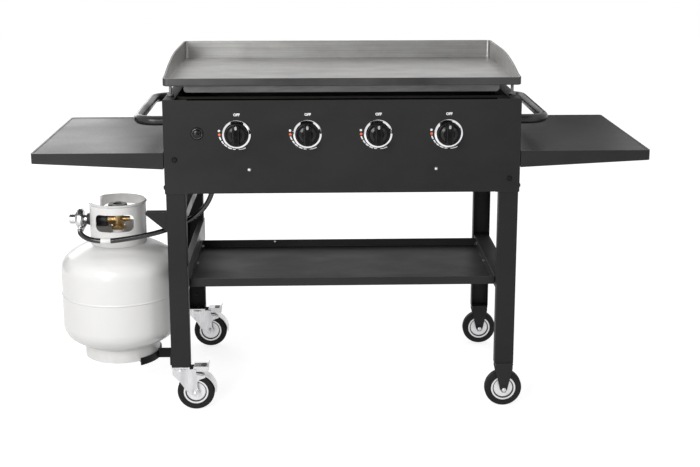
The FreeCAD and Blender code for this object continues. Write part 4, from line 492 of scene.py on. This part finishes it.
def drawn_out(made, outline, way):
    """Draws a closed flat outline out along a way and returns its far vertices."""
    near = [made.verts.new(spot) for spot in outline]
    far = [made.verts.new(spot) for spot in outline]
    made.faces.new(near).normal_flip()
    made.faces.new(far)
    for step in range(len(near)):
        later = (step + 1) % len(near)
        made.faces.new((near[step], near[later], far[later], far[step]))
    bmesh.ops.translate(made, verts=far, vec=way)
    return far


def finished(name, made, finish, body, smooth=False, crease=None):
    """Turns bmesh work into a dressed piece; angles over crease degrees stay sharp."""
    bmesh.ops.recalc_face_normals(made, faces=made.faces)
    for face in made.faces:
        face.smooth = smooth
    mesh = bpy.data.meshes.new(name)
    made.to_mesh(mesh)
    made.free()
    mesh.materials.append(finish.material)
    if crease:
        mesh.set_sharp_from_angle(angle=math.radians(crease))
    return fitted(name, mesh, body)


def flat_piece(name, outlines, depth, finish, body, thickness=0.00012):
    """Thin printed or filled marks: outlines of (x, z) at one depth, given a little thickness."""
    made = bmesh.new()
    for outline in outlines:
        drawn_out(made, [(x, depth, z) for x, z in outline], (0, -thickness, 0))
    return finished(name, made, finish, body)


def rounded_box(x, z, width, height, radius, steps=4):
    """Outline of a rounded rectangle round a middle, anticlockwise."""
    outline = []
    for quarter, (sx, sz) in enumerate(((1, 1), (-1, 1), (-1, -1), (1, -1))):
        cx, cz = x + sx * (width / 2 - radius), z + sz * (height / 2 - radius)
        for step in range(steps + 1):
            turn = math.pi / 2 * (quarter + step / steps)
            outline.append((cx + radius * math.cos(turn), cz + radius * math.sin(turn)))
    return outline


# Control knobs: moulded in glossy black plastic and pressed onto the valve stems. The pointer
# is a pale filled recess at the top of the grip bar.
knob_plastic = Finish("knob_plastic", (0.003, 0.003, 0.003), 0.2, Specular_IOR_Level=0.3)
knob_plastic.sheen(knob_plastic.noise(0.012), 0.12, 0.24)
knob_plastic.bump(knob_plastic.noise(0.0007), 0.05, 0.0002, 0.0012)
dress(knob_plastic, "knob_1", "knob_2", "knob_3", "knob_4")
pointer_fill = Finish("pointer_fill", (0.45, 0.45, 0.44), 0.5)
pointer_fill.sheen(pointer_fill.noise(0.0015), 0.4, 0.6)
POINTER_RISE, POINTER_WIDTH, POINTER_HEIGHT, POINTER_CORNER = 0.0215, 0.0056, 0.0090, 0.0020
grip_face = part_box("knob_1")[0].y
for number, middle in KNOB_MIDDLES.items():
    pointer = rounded_box(middle, KNOB_HEIGHT + POINTER_RISE, POINTER_WIDTH, POINTER_HEIGHT, POINTER_CORNER)
    flat_piece("knob_pointer_%d" % number, [pointer], grip_face + 0.00005, pointer_fill,
               "knob_%d" % number)


# Knob bezels: pressed rings, chrome plated, sprung into the panel round each knob.
# Their profile runs from the panel outwards: a rolled outer edge, a polished bevel, the crown
# and the inner wall, each point as (radius, height above the panel).
chrome = Finish("chrome_plate", (0.78, 0.78, 0.8), 0.07, 1.0)
chrome.sheen(chrome.noise(0.02, detail=4.0), 0.05, 0.16, 0.3, 0.75)
BEZEL = [
    (0.0307, 0.0), (0.0370, 0.0), (0.0370, 0.0012), (0.0367, 0.0020), (0.0361, 0.0026), (0.0328, 0.0050),
    (0.0320, 0.0056), (0.0314, 0.0060), (0.0309, 0.0058), (0.0307, 0.0052),
]
bezel_work = bmesh.new()
for middle in KNOB_MIDDLES.values():
    bezel_rows = []
    for cos, sin in clock(96):
        bezel_rows.append([
            bezel_work.verts.new((middle + radius * cos, PANEL_FACE - rise, KNOB_HEIGHT + radius * sin))
            for radius, rise in BEZEL
        ])
    skinned(bezel_work, bezel_rows)
bezels = finished("chrome_bezels", bezel_work, chrome, "stand", smooth=True, crease=50)
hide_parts("knob_bezels")

# Dial printing: white silk screen on the panel round each bezel, OFF at the top, a white and an
# orange lighting mark at nine o'clock and a tapering dashed sweep from high to low.
white_ink = Finish("white_ink", (0.82, 0.82, 0.82), 0.55)
white_ink.sheen(white_ink.noise(0.002), 0.5, 0.65)
orange_ink = Finish("orange_ink", (0.86, 0.16, 0.05), 0.55)
orange_ink.sheen(orange_ink.noise(0.002), 0.5, 0.65)
# Each dash: start and end angle, start and end radius, start and end width
DASHES = [
    (188, 200, 0.0437, 0.0420, 0.0036, 0.0035), (204, 216, 0.0416, 0.0407, 0.0034, 0.0032),
    (219, 232, 0.0404, 0.0398, 0.0032, 0.0029), (235.5, 251, 0.0396, 0.0392, 0.0028, 0.0024),
    (255, 266, 0.0391, 0.0390, 0.0022, 0.0016), (277, 304, 0.0394, 0.0414, 0.0012, 0.0026),
]
# Each lighting mark: to the side of the knob, above it, its size and its corner radius
WHITE_MARK, ORANGE_MARK = (-0.0442, 0.0094, 0.0062, 0.0030), (-0.0436, -0.0004, 0.0068, 0.0033)
OFF_HEIGHT, OFF_SIDE, OFF_RISE, INK_RISE = 0.0066, 0.0008, 0.0503, 0.00006
FONT_OVER_CAPITAL, BOLDER = 1.38, 0.0005


def dash_outline(middle, start, end, near, far, wide, narrow, steps=8):
    """A curved dash round a dial, as an outline of (x, z)."""
    inner, outer = [], []
    for step in range(steps + 1):
        share = step / steps
        turn = math.radians(start + (end - start) * share)
        reach, width = near + (far - near) * share, wide + (narrow - wide) * share
        for side, line in ((-0.5, inner), (0.5, outer)):
            span = reach + side * width
            line.append((middle + span * math.cos(turn), KNOB_HEIGHT + span * math.sin(turn)))
    return inner + outer[::-1]


def mark_outline(middle, side, rise, size, corner):
    """A round lighting mark beside a dial, as an outline of (x, z)."""
    return rounded_box(middle + side, KNOB_HEIGHT + rise, size, size, corner)


def lettering(name, text, height, x, z):
    """Printed capitals on the front panel, as a plain mesh."""
    curve = bpy.data.curves.new(name + "_curve", "FONT")
    curve.body = text
    curve.size = height * FONT_OVER_CAPITAL
    curve.align_x = "CENTER"
    curve.align_y = "CENTER"
    curve.extrude = INK_RISE
    curve.offset = BOLDER
    curve.resolution_u = 3
    shape = added(name + "_curve", curve)
    mesh = bpy.data.meshes.new_from_object(shape.evaluated_get(bpy.context.evaluated_depsgraph_get()))
    bpy.data.objects.remove(shape)
    upright = Matrix.Rotation(math.radians(90), 4, "X")
    mesh.transform(Matrix.Translation((x, PANEL_FACE - INK_RISE, z)) @ upright)
    mesh.materials.clear()
    mesh.materials.append(white_ink.material)
    return fitted(name, mesh, "stand")


white_marks, orange_marks = [], []
for number, middle in KNOB_MIDDLES.items():
    white_marks += [dash_outline(middle, *dash) for dash in DASHES]
    white_marks.append(mark_outline(middle, *WHITE_MARK))
    orange_marks.append(mark_outline(middle, *ORANGE_MARK))
    lettering("off_mark_%d" % number, "OFF", OFF_HEIGHT, middle + OFF_SIDE, KNOB_HEIGHT + OFF_RISE)
flat_piece("dial_marks_white", white_marks, PANEL_FACE, white_ink, "stand")
flat_piece("dial_marks_orange", orange_marks, PANEL_FACE, orange_ink, "stand")


def ring_piece(name, centre, axis, radius, wire, finish, body):
    """A plain ring of round wire about an axis through its centre."""
    made = bmesh.new()
    turn = Vector((0, 0, 1)).rotation_difference(Vector(axis)).to_matrix()
    rows = []
    for cos, sin in clock(64):
        row = []
        for along, lifted in clock(12):
            out = radius + wire * along
            row.append(made.verts.new(turn @ Vector((out * cos, out * sin, wire * lifted)) + Vector(centre)))
        rows.append(row)
    skinned(made, rows)
    return finished(name, made, finish, body, smooth=True)


# Igniter: a glossy black push button with a low domed cap, in a black moulded housing. The
# housing is screwed into the panel from behind, and a glossy ring stands round its button.
RING_RADIUS, RING_WIRE, RING_RISE = 0.0124, 0.0016, 0.0026
CAP_RISE, CAP_GAP, CAP_SINK, CAP_RINGS = 0.0034, 0.0003, 0.0015, 10
dress(knob_plastic, "igniter_housing", "igniter_button")
ring_gloss = Finish("ring_gloss", (0.004, 0.004, 0.004), 0.14, Specular_IOR_Level=1.0)
ring_gloss.sheen(ring_gloss.noise(0.006), 0.1, 0.18)
housing_low, housing_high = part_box("igniter_housing")
button_low, button_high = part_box("igniter_button")
igniter = (housing_low + housing_high) / 2
ring_piece("igniter_ring", (igniter.x, PANEL_FACE - RING_RISE, igniter.z), (0, 1, 0), RING_RADIUS, RING_WIRE,
           ring_gloss, "stand")
cap_radius = (button_high.x - button_low.x) / 2 - CAP_GAP
cap_work = bmesh.new()
cap_rows = []
for level in range(CAP_RINGS):
    lean = math.pi / 2 * level / CAP_RINGS
    cap_reach = cap_radius * math.cos(lean)
    depth = button_low.y + CAP_SINK - CAP_RISE * math.sin(lean)
    cap_rows.append([
        cap_work.verts.new((igniter.x + cap_reach * cos, depth, igniter.z + cap_reach * sin))
        for cos, sin in clock(48)
    ])
skinned(cap_work, cap_rows, closed=False)
cap_work.faces.new(cap_rows[-1])
cap_work.faces.new(cap_rows[0][::-1])
finished("igniter_cap", cap_work, knob_plastic, "igniter_button", smooth=True, crease=50)

# Valve stems and black mouldings: the stems are turned steel, and the coupling nut and the
# handwheel on the cylinder's valve are moulded in a duller black plastic.
stem_steel = Finish("stem_steel", (0.6, 0.6, 0.6), 0.3, 1.0)
stem_steel.sheen(stem_steel.noise(0.002, (1, 20, 1)), 0.22, 0.4)
dress(stem_steel, "valve_stem_1", "valve_stem_2", "valve_stem_3", "valve_stem_4")
black_moulding = Finish("black_moulding", (0.02, 0.02, 0.02), 0.38)
black_moulding.sheen(black_moulding.noise(0.004), 0.3, 0.48)
black_moulding.bump(black_moulding.noise(0.0006), 0.12, 0.0003, 0.0008)
dress(black_moulding, "coupling_nut", "valve_handwheel")

# Gas train behind the panel: a steel manifold pipe in grey primer, turned brass valves, and
# spark electrodes in white ceramic. The cylinder's valve is of the same brass.
primer = Finish("primer_grey", (0.2, 0.2, 0.205), 0.55)
primer.set("Base Color", primer.shade(primer.noise(0.03), (0.17, 0.17, 0.175), (0.24, 0.24, 0.245)))
primer.bump(primer.noise(0.001), 0.1, 0.0004, 0.001)
dress(primer, "manifold")
brass = Finish("brass", (0.62, 0.43, 0.2), 0.3, 1.0)
tarnish = brass.noise(0.012, detail=4.0)
brass.tone(tarnish, (0.52, 0.345, 0.16), (0.3, 0.185, 0.08), 0.4, 0.7)
brass.sheen(tarnish, 0.22, 0.42)
brass.bump(brass.noise(0.0009), 0.06, 0.0003, 0.0012)
dress(brass, "gas_valves", "cylinder_valve")
ceramic = Finish("ceramic", (0.8, 0.79, 0.75), 0.2)
ceramic.sheen(ceramic.noise(0.004), 0.15, 0.3)
dress(ceramic, "igniter_electrodes")


# Fasteners: zinc plated steel, bright or black. Domed rivets hold the manifold brackets, and
# screws hold the bottom shelf, the cylinder holder and the flanges of the side walls.
zinc = Finish("zinc_plate", (0.66, 0.67, 0.69), 0.26, 1.0)
streaks = zinc.noise(0.016, (1, 1, 5))
zinc.tone(streaks, (0.68, 0.68, 0.69), (0.5, 0.5, 0.51))
zinc.sheen(streaks, 0.24, 0.32)
zinc.bump(zinc.noise(0.0015), 0.03, 0.0003, 0.001)
black_zinc = Finish("black_zinc", (0.003, 0.003, 0.003), 0.5, Specular_IOR_Level=0.2)
black_zinc.sheen(black_zinc.noise(0.003), 0.4, 0.55)
dress(black_zinc, "frame_bolts")


def head_tree(name, finish, corners, dome):
    """A tree that puts a screw or rivet head on each point: a flat head with a dome on it."""
    inputs = {"Head radius": 0.005, "Head height": 0.003, "Turn": 0.0, "Tilt": 0.0}
    tree, start, end = node_tree_of(name, inputs)
    radius = start.outputs["Head radius"]
    head = add_node(tree, "GeometryNodeMeshCylinder", {
        "Vertices": corners, "Radius": radius, "Depth": start.outputs["Head height"],
    })
    ball = add_node(tree, "GeometryNodeMeshUVSphere", {"Segments": 20, "Rings": 10, "Radius": radius})
    flatten = add_node(tree, "ShaderNodeCombineXYZ", {"X": 0.86, "Y": 0.86, "Z": dome})
    squat = add_node(tree, "GeometryNodeTransform", {
        "Geometry": ball.outputs["Mesh"], "Scale": flatten.outputs[0],
    })
    both = add_node(tree, "GeometryNodeJoinGeometry", {})
    tree.links.new(squat.outputs[0], both.inputs[0])
    tree.links.new(head.outputs["Mesh"], both.inputs[0])
    turn = add_node(tree, "ShaderNodeCombineXYZ", {"X": start.outputs["Tilt"], "Z": start.outputs["Turn"]})
    paint = strewn(tree, start, both.outputs[0], turn.outputs[0], finish)
    flat = add_node(tree, "GeometryNodeSetShadeSmooth", {"Geometry": paint, "Shade Smooth": False})
    tree.links.new(flat.outputs[0], end.inputs[0])
    return tree


QUARTER_TURN = math.radians(90)


def heads(name, spots, tree, radius, height, slot, body="stand", **turns):
    """Heads of one size on a list of points, all turned alike."""
    sizes = {"Head radius": radius, "Head height": height, **turns}
    return grown(name, spots, tree, sizes, body)


rivets = head_tree("rivet_heads", zinc, 20, 0.62)
screws = head_tree("screw_heads", black_zinc, 6, 0.7)
ends = head_tree("screw_ends", zinc, 16, 0.5)
RIVET_SIDE, RIVET_HEIGHT = 0.24, 0.655
rivet_spots = [(side * RIVET_SIDE, PANEL_FACE, RIVET_HEIGHT) for side in (-1, 1)]
heads("panel_rivets", rivet_spots, rivets, radius=0.0042, height=0.0008, slot="zinc", Tilt=QUARTER_TURN)
SHEET_INSIDE = 0.0018
shelf_low, shelf_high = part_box("bottom_shelf")
shelf_ends = (shelf_low.x + SHEET_INSIDE, shelf_high.x - SHEET_INSIDE)
heads("shelf_screws", [(x, y, 0.343) for x in shelf_ends for y in (-0.05, 0.12)], ends,
      radius=0.0036, height=0.011, slot="zinc", Tilt=QUARTER_TURN, Turn=QUARTER_TURN)
heads("shelf_rivets", [(-0.19, shelf_high.y - SHEET_INSIDE, 0.348)], ends,
      radius=0.0034, height=0.002, slot="zinc", Tilt=QUARTER_TURN)
leg_x, leg_front = PIVOTS["rear_left_swivel"][0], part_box("rear_left_leg")[0].y
heads("rear_leg_screw", [(leg_x, leg_front, 0.166)], screws,
      radius=0.0048, height=0.003, slot="black_powder_coat", Tilt=QUARTER_TURN)
FLANGE_SIDE, FLANGE_TOP = 0.4375, 0.8362
flange_spots = [(side * FLANGE_SIDE, y, FLANGE_TOP) for side in (-1, 1) for y in (-0.205, 0.175)]
heads("flange_screws", flange_spots, screws, radius=0.0048, height=0.003, slot="black_powder_coat")


# Casters: zinc plated pressings with a ball race under each left plate and a black rubber pad
# on each pedal, grey moulded hubs and solid black rubber tyres. The right forks are black.
WHEELS = ("front_left", "rear_left", "front_right", "rear_right")
GROOVE_INNER, GROOVE_OUTER = 0.02495, 0.02835
RACE_HEIGHT, RACE_RADIUS, RACE_WIRE = 0.1128, 0.0212, 0.0021
# A pad's middle, length and width as shares of its pedal, and its corner radius and thickness
PAD_PLACE, PAD_LENGTH, PAD_WIDTH, PAD_CORNER, PAD_THICKNESS = 0.68, 0.34, 0.62, 0.003, 0.0016
dress(zinc, "front_left_caster_fork", "rear_left_caster_fork", "caster_mounts")
dress(zinc, "front_left_brake_pedal", "rear_left_brake_pedal")
fork_coat = powder_coat("fork_powder_coat", 0.36)
dress(fork_coat, "right_caster_forks")


def tyre_finish(wheel, centre):
    """Dull black rubber with fine moulding rings round the axle."""
    rubber = Finish(wheel + "_tyre_rubber", (0.01, 0.01, 0.01), 0.6, Specular_IOR_Level=0.2)
    waves = {"Vector": rubber.about(centre), "Scale": 260.0, "Distortion": 0.0}
    rings = rubber.add("TexWave", waves, wave_type="RINGS", rings_direction="Y")
    scuff = rubber.noise(0.006, detail=4.0)
    rubber.tone(scuff, (0.007, 0.007, 0.007), (0.022, 0.022, 0.022), 0.4, 0.75)
    rubber.sheen(scuff, 0.5, 0.75)
    rubber.bump(rubber.plus(rings, scuff), 0.12, 0.0004)
    return rubber


def hub_finish(wheel, centre):
    """Grey moulded hub, with painted shade: the groove between its disc and its rim is coloured near black.
    """
    hub = Finish(wheel + "_hub_grey", (0.75, 0.75, 0.76), 0.34, 0.7)
    flat = hub.vector("MULTIPLY", hub.about(centre), (1, 0, 1))
    radius = hub.vector("LENGTH", flat, output=1)
    # Painted shade: the ring of the groove, between these radii, is coloured near black for the shade in the
    # recess.
    past_disc = hub.span(radius, GROOVE_INNER - 0.00035, GROOVE_INNER + 0.00035)
    before_rim = hub.span(radius, GROOVE_OUTER - 0.00035, GROOVE_OUTER + 0.00035, 1.0, 0.0)
    painted_groove_shade = hub.times(past_disc, before_rim)
    faded = hub.shade(hub.noise(0.02), (0.72, 0.72, 0.73), (0.8, 0.8, 0.81))
    hub.set("Base Color", hub.shade(hub.times(painted_groove_shade, 0.92), faded, (0.03, 0.03, 0.032)))
    hub.sheen(hub.noise(0.003), 0.35, 0.52)
    hub.bump(hub.noise(0.001), 0.1, 0.0003, 0.0008)
    return hub


def pedal_pad(name, low, high, body):
    """A black rubber pad with rounded corners on top of a pedal, nearer its outer end."""
    made = bmesh.new()
    length, width = high.x - low.x, high.y - low.y
    middle_x, middle_y = low.x + length * PAD_PLACE, (low.y + high.y) / 2
    outline = rounded_box(middle_x, middle_y, length * PAD_LENGTH, width * PAD_WIDTH, PAD_CORNER)
    top = drawn_out(made, [(x, y, high.z - 0.0002) for x, y in outline], (0, 0, PAD_THICKNESS))
    rim = [edge for edge in made.edges if all(end in top for end in edge.verts)]
    bmesh.ops.bevel(made, geom=rim, offset=0.0005, segments=2, affect="EDGES")
    return finished(name, made, black_moulding, body)


# Outline of a pedal's release tab, from the pedal's outer end and top: (outwards, upwards)
TAB = [
    (-0.0030, -0.0015), (-0.0022, 0.0030), (-0.0002, 0.0075), (0.0020, 0.0105),
    (0.0034, 0.0097), (0.0012, 0.0068), (-0.0008, 0.0025), (-0.0016, -0.0019),
]


def pedal_tab(name, low, high, body):
    """The bent end of a pedal that a toe lifts to let the brake go."""
    made = bmesh.new()
    middle, half_wide = (low.y + high.y) / 2, (high.y - low.y) * 0.27
    outline = [(high.x + x, middle - half_wide, high.z + z) for x, z in TAB]
    drawn_out(made, outline, (0, 2 * half_wide, 0))
    bmesh.ops.bevel(made, geom=list(made.edges), offset=0.0003, segments=1, affect="EDGES")
    return finished(name, made, zinc, body)


for wheel in WHEELS:
    dress(tyre_finish(wheel, PIVOTS[wheel + "_roll"]), wheel + "_tyre")
    dress(hub_finish(wheel, PIVOTS[wheel + "_roll"]), wheel + "_hub")
nuts = head_tree("axle_nuts", zinc, 6, 0.55)
left_reach = PIVOTS["front_left_roll"][1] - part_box("front_left_caster_fork")[0].y
right_reach = PIVOTS["front_right_roll"][1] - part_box("right_caster_forks")[0].y
right_spots = []
for end in ("front", "rear"):
    caster, pedal = end + "_left_caster", end + "_left_pedal"
    swivel_x, swivel_y, _ = PIVOTS[end + "_left_swivel"]
    ring_piece(end + "_ball_race", (swivel_x, swivel_y, RACE_HEIGHT), (0, 0, 1), RACE_RADIUS, RACE_WIRE,
               zinc, caster)
    pedal_low, pedal_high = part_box(end + "_left_brake_pedal")
    pedal_pad(end + "_pedal_pad", pedal_low, pedal_high, pedal)
    pedal_tab(end + "_pedal_tab", pedal_low, pedal_high, pedal)
    x, y, z = PIVOTS[end + "_left_roll"]
    heads(end + "_left_axle_nuts", [(x, y + side * left_reach, z) for side in (-1, 1)], nuts,
          radius=0.0058, height=0.003, slot="zinc", body=caster, Tilt=QUARTER_TURN)
    x, y, z = PIVOTS[end + "_right_roll"]
    right_spots += [(x, y + side * right_reach, z) for side in (-1, 1)]
heads("right_axle_nuts", right_spots, nuts, radius=0.0062, height=0.004, slot="zinc", Tilt=QUARTER_TURN)


# Gas cylinder: welded steel in off-white enamel, slightly uneven and shiny, and darker in
# brownish blotches towards the floor round its foot ring. The welded collar has the same coat.
enamel = Finish("cylinder_enamel", (0.82, 0.815, 0.8), 0.3)
# Darker towards the floor: fully below 0.1 m, fading out by 0.2 m, in blotches.
near_floor = enamel.span(enamel.height(), 0.1, 0.2, 1.0, 0.0)
low_darkening = enamel.times(near_floor, enamel.span(enamel.noise(0.02, detail=5.0), 0.35, 0.7))
paint = enamel.shade(enamel.span(enamel.noise(0.12), 0.3, 0.7), (0.8, 0.795, 0.785), (0.775, 0.77, 0.76))
enamel.set("Base Color", enamel.shade(enamel.times(low_darkening, 0.22), paint, (0.42, 0.39, 0.35)))
enamel.sheen(enamel.noise(0.05), 0.2, 0.27)
enamel.bump(enamel.noise(0.006), 0.05, 0.0004, 0.002)
dress(enamel, "cylinder", "cylinder_collar")

# Grease cup: folded from galvanised sheet, dull grey with the large crystals of its zinc. It
# hooks over the rear panel, below the plate's drain.
galvanised = Finish("galvanised_sheet", (0.4, 0.4, 0.41), 0.42, 1.0)
crystals = galvanised.add("TexVoronoi", {"Vector": galvanised.place, "Scale": 110.0}, output=1)
crystal_grey = galvanised.add("SeparateColor", {"Color": crystals})
galvanised.set("Base Color", galvanised.shade(crystal_grey, (0.3, 0.3, 0.31), (0.44, 0.44, 0.45)))
galvanised.sheen(crystal_grey, 0.36, 0.5, 0.0, 1.0)
dress(galvanised, "grease_cup")

# Regulator: a die cast zinc diaphragm housing, screwed to the cylinder's valve by its nut. Six
# screws hold its cover on, in a ring near the rim.
RIM_SCREWS, RIM_RADIUS, RIM_X, RIM_Y, RIM_Z = 6, 0.0235, -0.7101, -0.1198, 0.491
dress(zinc, "regulator")
rim_spots = []
for step in range(RIM_SCREWS):
    angle = math.radians(30) + 2 * math.pi * step / RIM_SCREWS
    rim_spots.append((RIM_X, RIM_Y + RIM_RADIUS * math.cos(angle), RIM_Z + RIM_RADIUS * math.sin(angle)))
rim_screws = head_tree("rim_screw_heads", zinc, 16, 0.7)
heads("regulator_screws", rim_spots, rim_screws,
      radius=0.0024, height=0.0016, slot="zinc", Tilt=QUARTER_TURN, Turn=QUARTER_TURN)

# Gas hose: black rubber, 13 mm, from the regulator's port round the cylinder's shoulder, behind
# the front leg and up to the manifold. It is one length, crimped into a ferrule at each end,
# and it carries a plain pale sleeve near the cylinder.
HOSE_POINTS = [
    (-0.6942, -0.16255, 0.475325), (-0.6942, -0.19455, 0.475325), (-0.6805, -0.2218, 0.470),
    (-0.655, -0.2383, 0.4635), (-0.614, -0.2413, 0.461), (-0.571, -0.2378, 0.465), (-0.525, -0.2338, 0.472),
    (-0.484, -0.2278, 0.480), (-0.446, -0.2178, 0.490), (-0.406, -0.2098, 0.506), (-0.372, -0.2088, 0.529),
    (-0.345, -0.2138, 0.567), (-0.331, -0.2218, 0.622), (-0.330, -0.2248, 0.68035),
]
HOSE_RADIUS = 0.0067
NEAR_FERRULE, FAR_FERRULE, SLEEVE_START, SLEEVE_LENGTH = 0.024, 0.026, 0.115, 0.03
hose_rubber = Finish("hose_rubber", (0.004, 0.004, 0.004), 0.22, Specular_IOR_Level=0.6)
hose_rubber.sheen(hose_rubber.noise(0.008, detail=4.0), 0.18, 0.28)
hose_rubber.bump(hose_rubber.noise(0.0012), 0.08, 0.0002)
hose_line = bpy.data.curves.new("gas_hose_line", "CURVE")
hose_line.dimensions = "3D"
hose_spline = hose_line.splines.new("NURBS")
hose_spline.points.add(len(HOSE_POINTS) - 1)
for point, spot in zip(hose_spline.points, HOSE_POINTS):
    point.co = (*spot, 1)
hose_spline.order_u = 3
hose_spline.use_endpoint_u = True
hose_spline.resolution_u = 12
hose_line.bevel_depth = HOSE_RADIUS
hose_line.bevel_resolution = 6
hose_line.use_fill_caps = True
hose_line.materials.append(hose_rubber.material)
hose = fitted("rubber_gas_hose", hose_line, "stand")
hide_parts("gas_hose")


def hose_path():
    """The hose's own line, as points along its spline."""
    bare = hose_line.copy()
    bare.bevel_depth = 0
    probe = added("hose_probe", bare)
    line = bpy.data.meshes.new_from_object(probe.evaluated_get(bpy.context.evaluated_depsgraph_get()))
    points = [vertex.co.copy() for vertex in line.vertices]
    bpy.data.objects.remove(probe)
    return points


def stretch(points, start, length):
    """The part of a line of points from start over a length."""
    passed, kept = 0.0, []
    for before, after in zip(points, points[1:]):
        if start <= passed <= start + length:
            kept.append(before)
        passed += (after - before).length
    return kept


def sleeve_piece(name, points, profile, finish):
    """A turned sleeve that follows a stretch of the hose; profile is (share of the stretch, radius)."""
    made = bmesh.new()
    runs = [0.0]
    for before, after in zip(points, points[1:]):
        runs.append(runs[-1] + (after - before).length)
    rows = []
    for share, radius in profile:
        goal = share * runs[-1]
        index = max(i for i, run in enumerate(runs[:-1]) if run <= goal + 1e-9)
        part = (goal - runs[index]) / (runs[index + 1] - runs[index])
        middle = points[index].lerp(points[index + 1], part)
        ahead = (points[index + 1] - points[index]).normalized()
        side = ahead.cross(Vector((0, 0, 1)) if abs(ahead.z) < 0.9 else Vector((0, 1, 0))).normalized()
        up = side.cross(ahead)
        rows.append([made.verts.new(middle + (side * cos + up * sin) * radius) for cos, sin in clock(24)])
    skinned(made, rows)
    return finished(name, made, finish, "stand", smooth=True)


FERRULE = [
    (0.0, 0.0062), (0.0, 0.0080), (0.2, 0.0086), (0.3, 0.0080), (0.5, 0.0086), (0.6, 0.0080), (0.85, 0.0086),
    (1.0, 0.0078), (1.0, 0.0062),
]
SLEEVE = [(0.0, 0.0064), (0.0, 0.0073), (0.03, 0.0078), (0.97, 0.0078), (1.0, 0.0073), (1.0, 0.0064)]
hose_run = hose_path()
near_run = stretch(hose_run, 0.0, NEAR_FERRULE)
far_run = stretch(hose_run[::-1], 0.0, FAR_FERRULE)
sleeve_run = stretch(hose_run, SLEEVE_START, SLEEVE_LENGTH)
near_ferrule = sleeve_piece("port_ferrule", near_run, FERRULE, zinc)
far_ferrule = sleeve_piece("inlet_ferrule", far_run, FERRULE, zinc)
pale_sleeve = Finish("pale_sleeve", (0.78, 0.78, 0.77), 0.5)
pale_sleeve.sheen(pale_sleeve.noise(0.003), 0.42, 0.6)
sleeve = sleeve_piece("hose_sleeve", sleeve_run, SLEEVE, pale_sleeve)
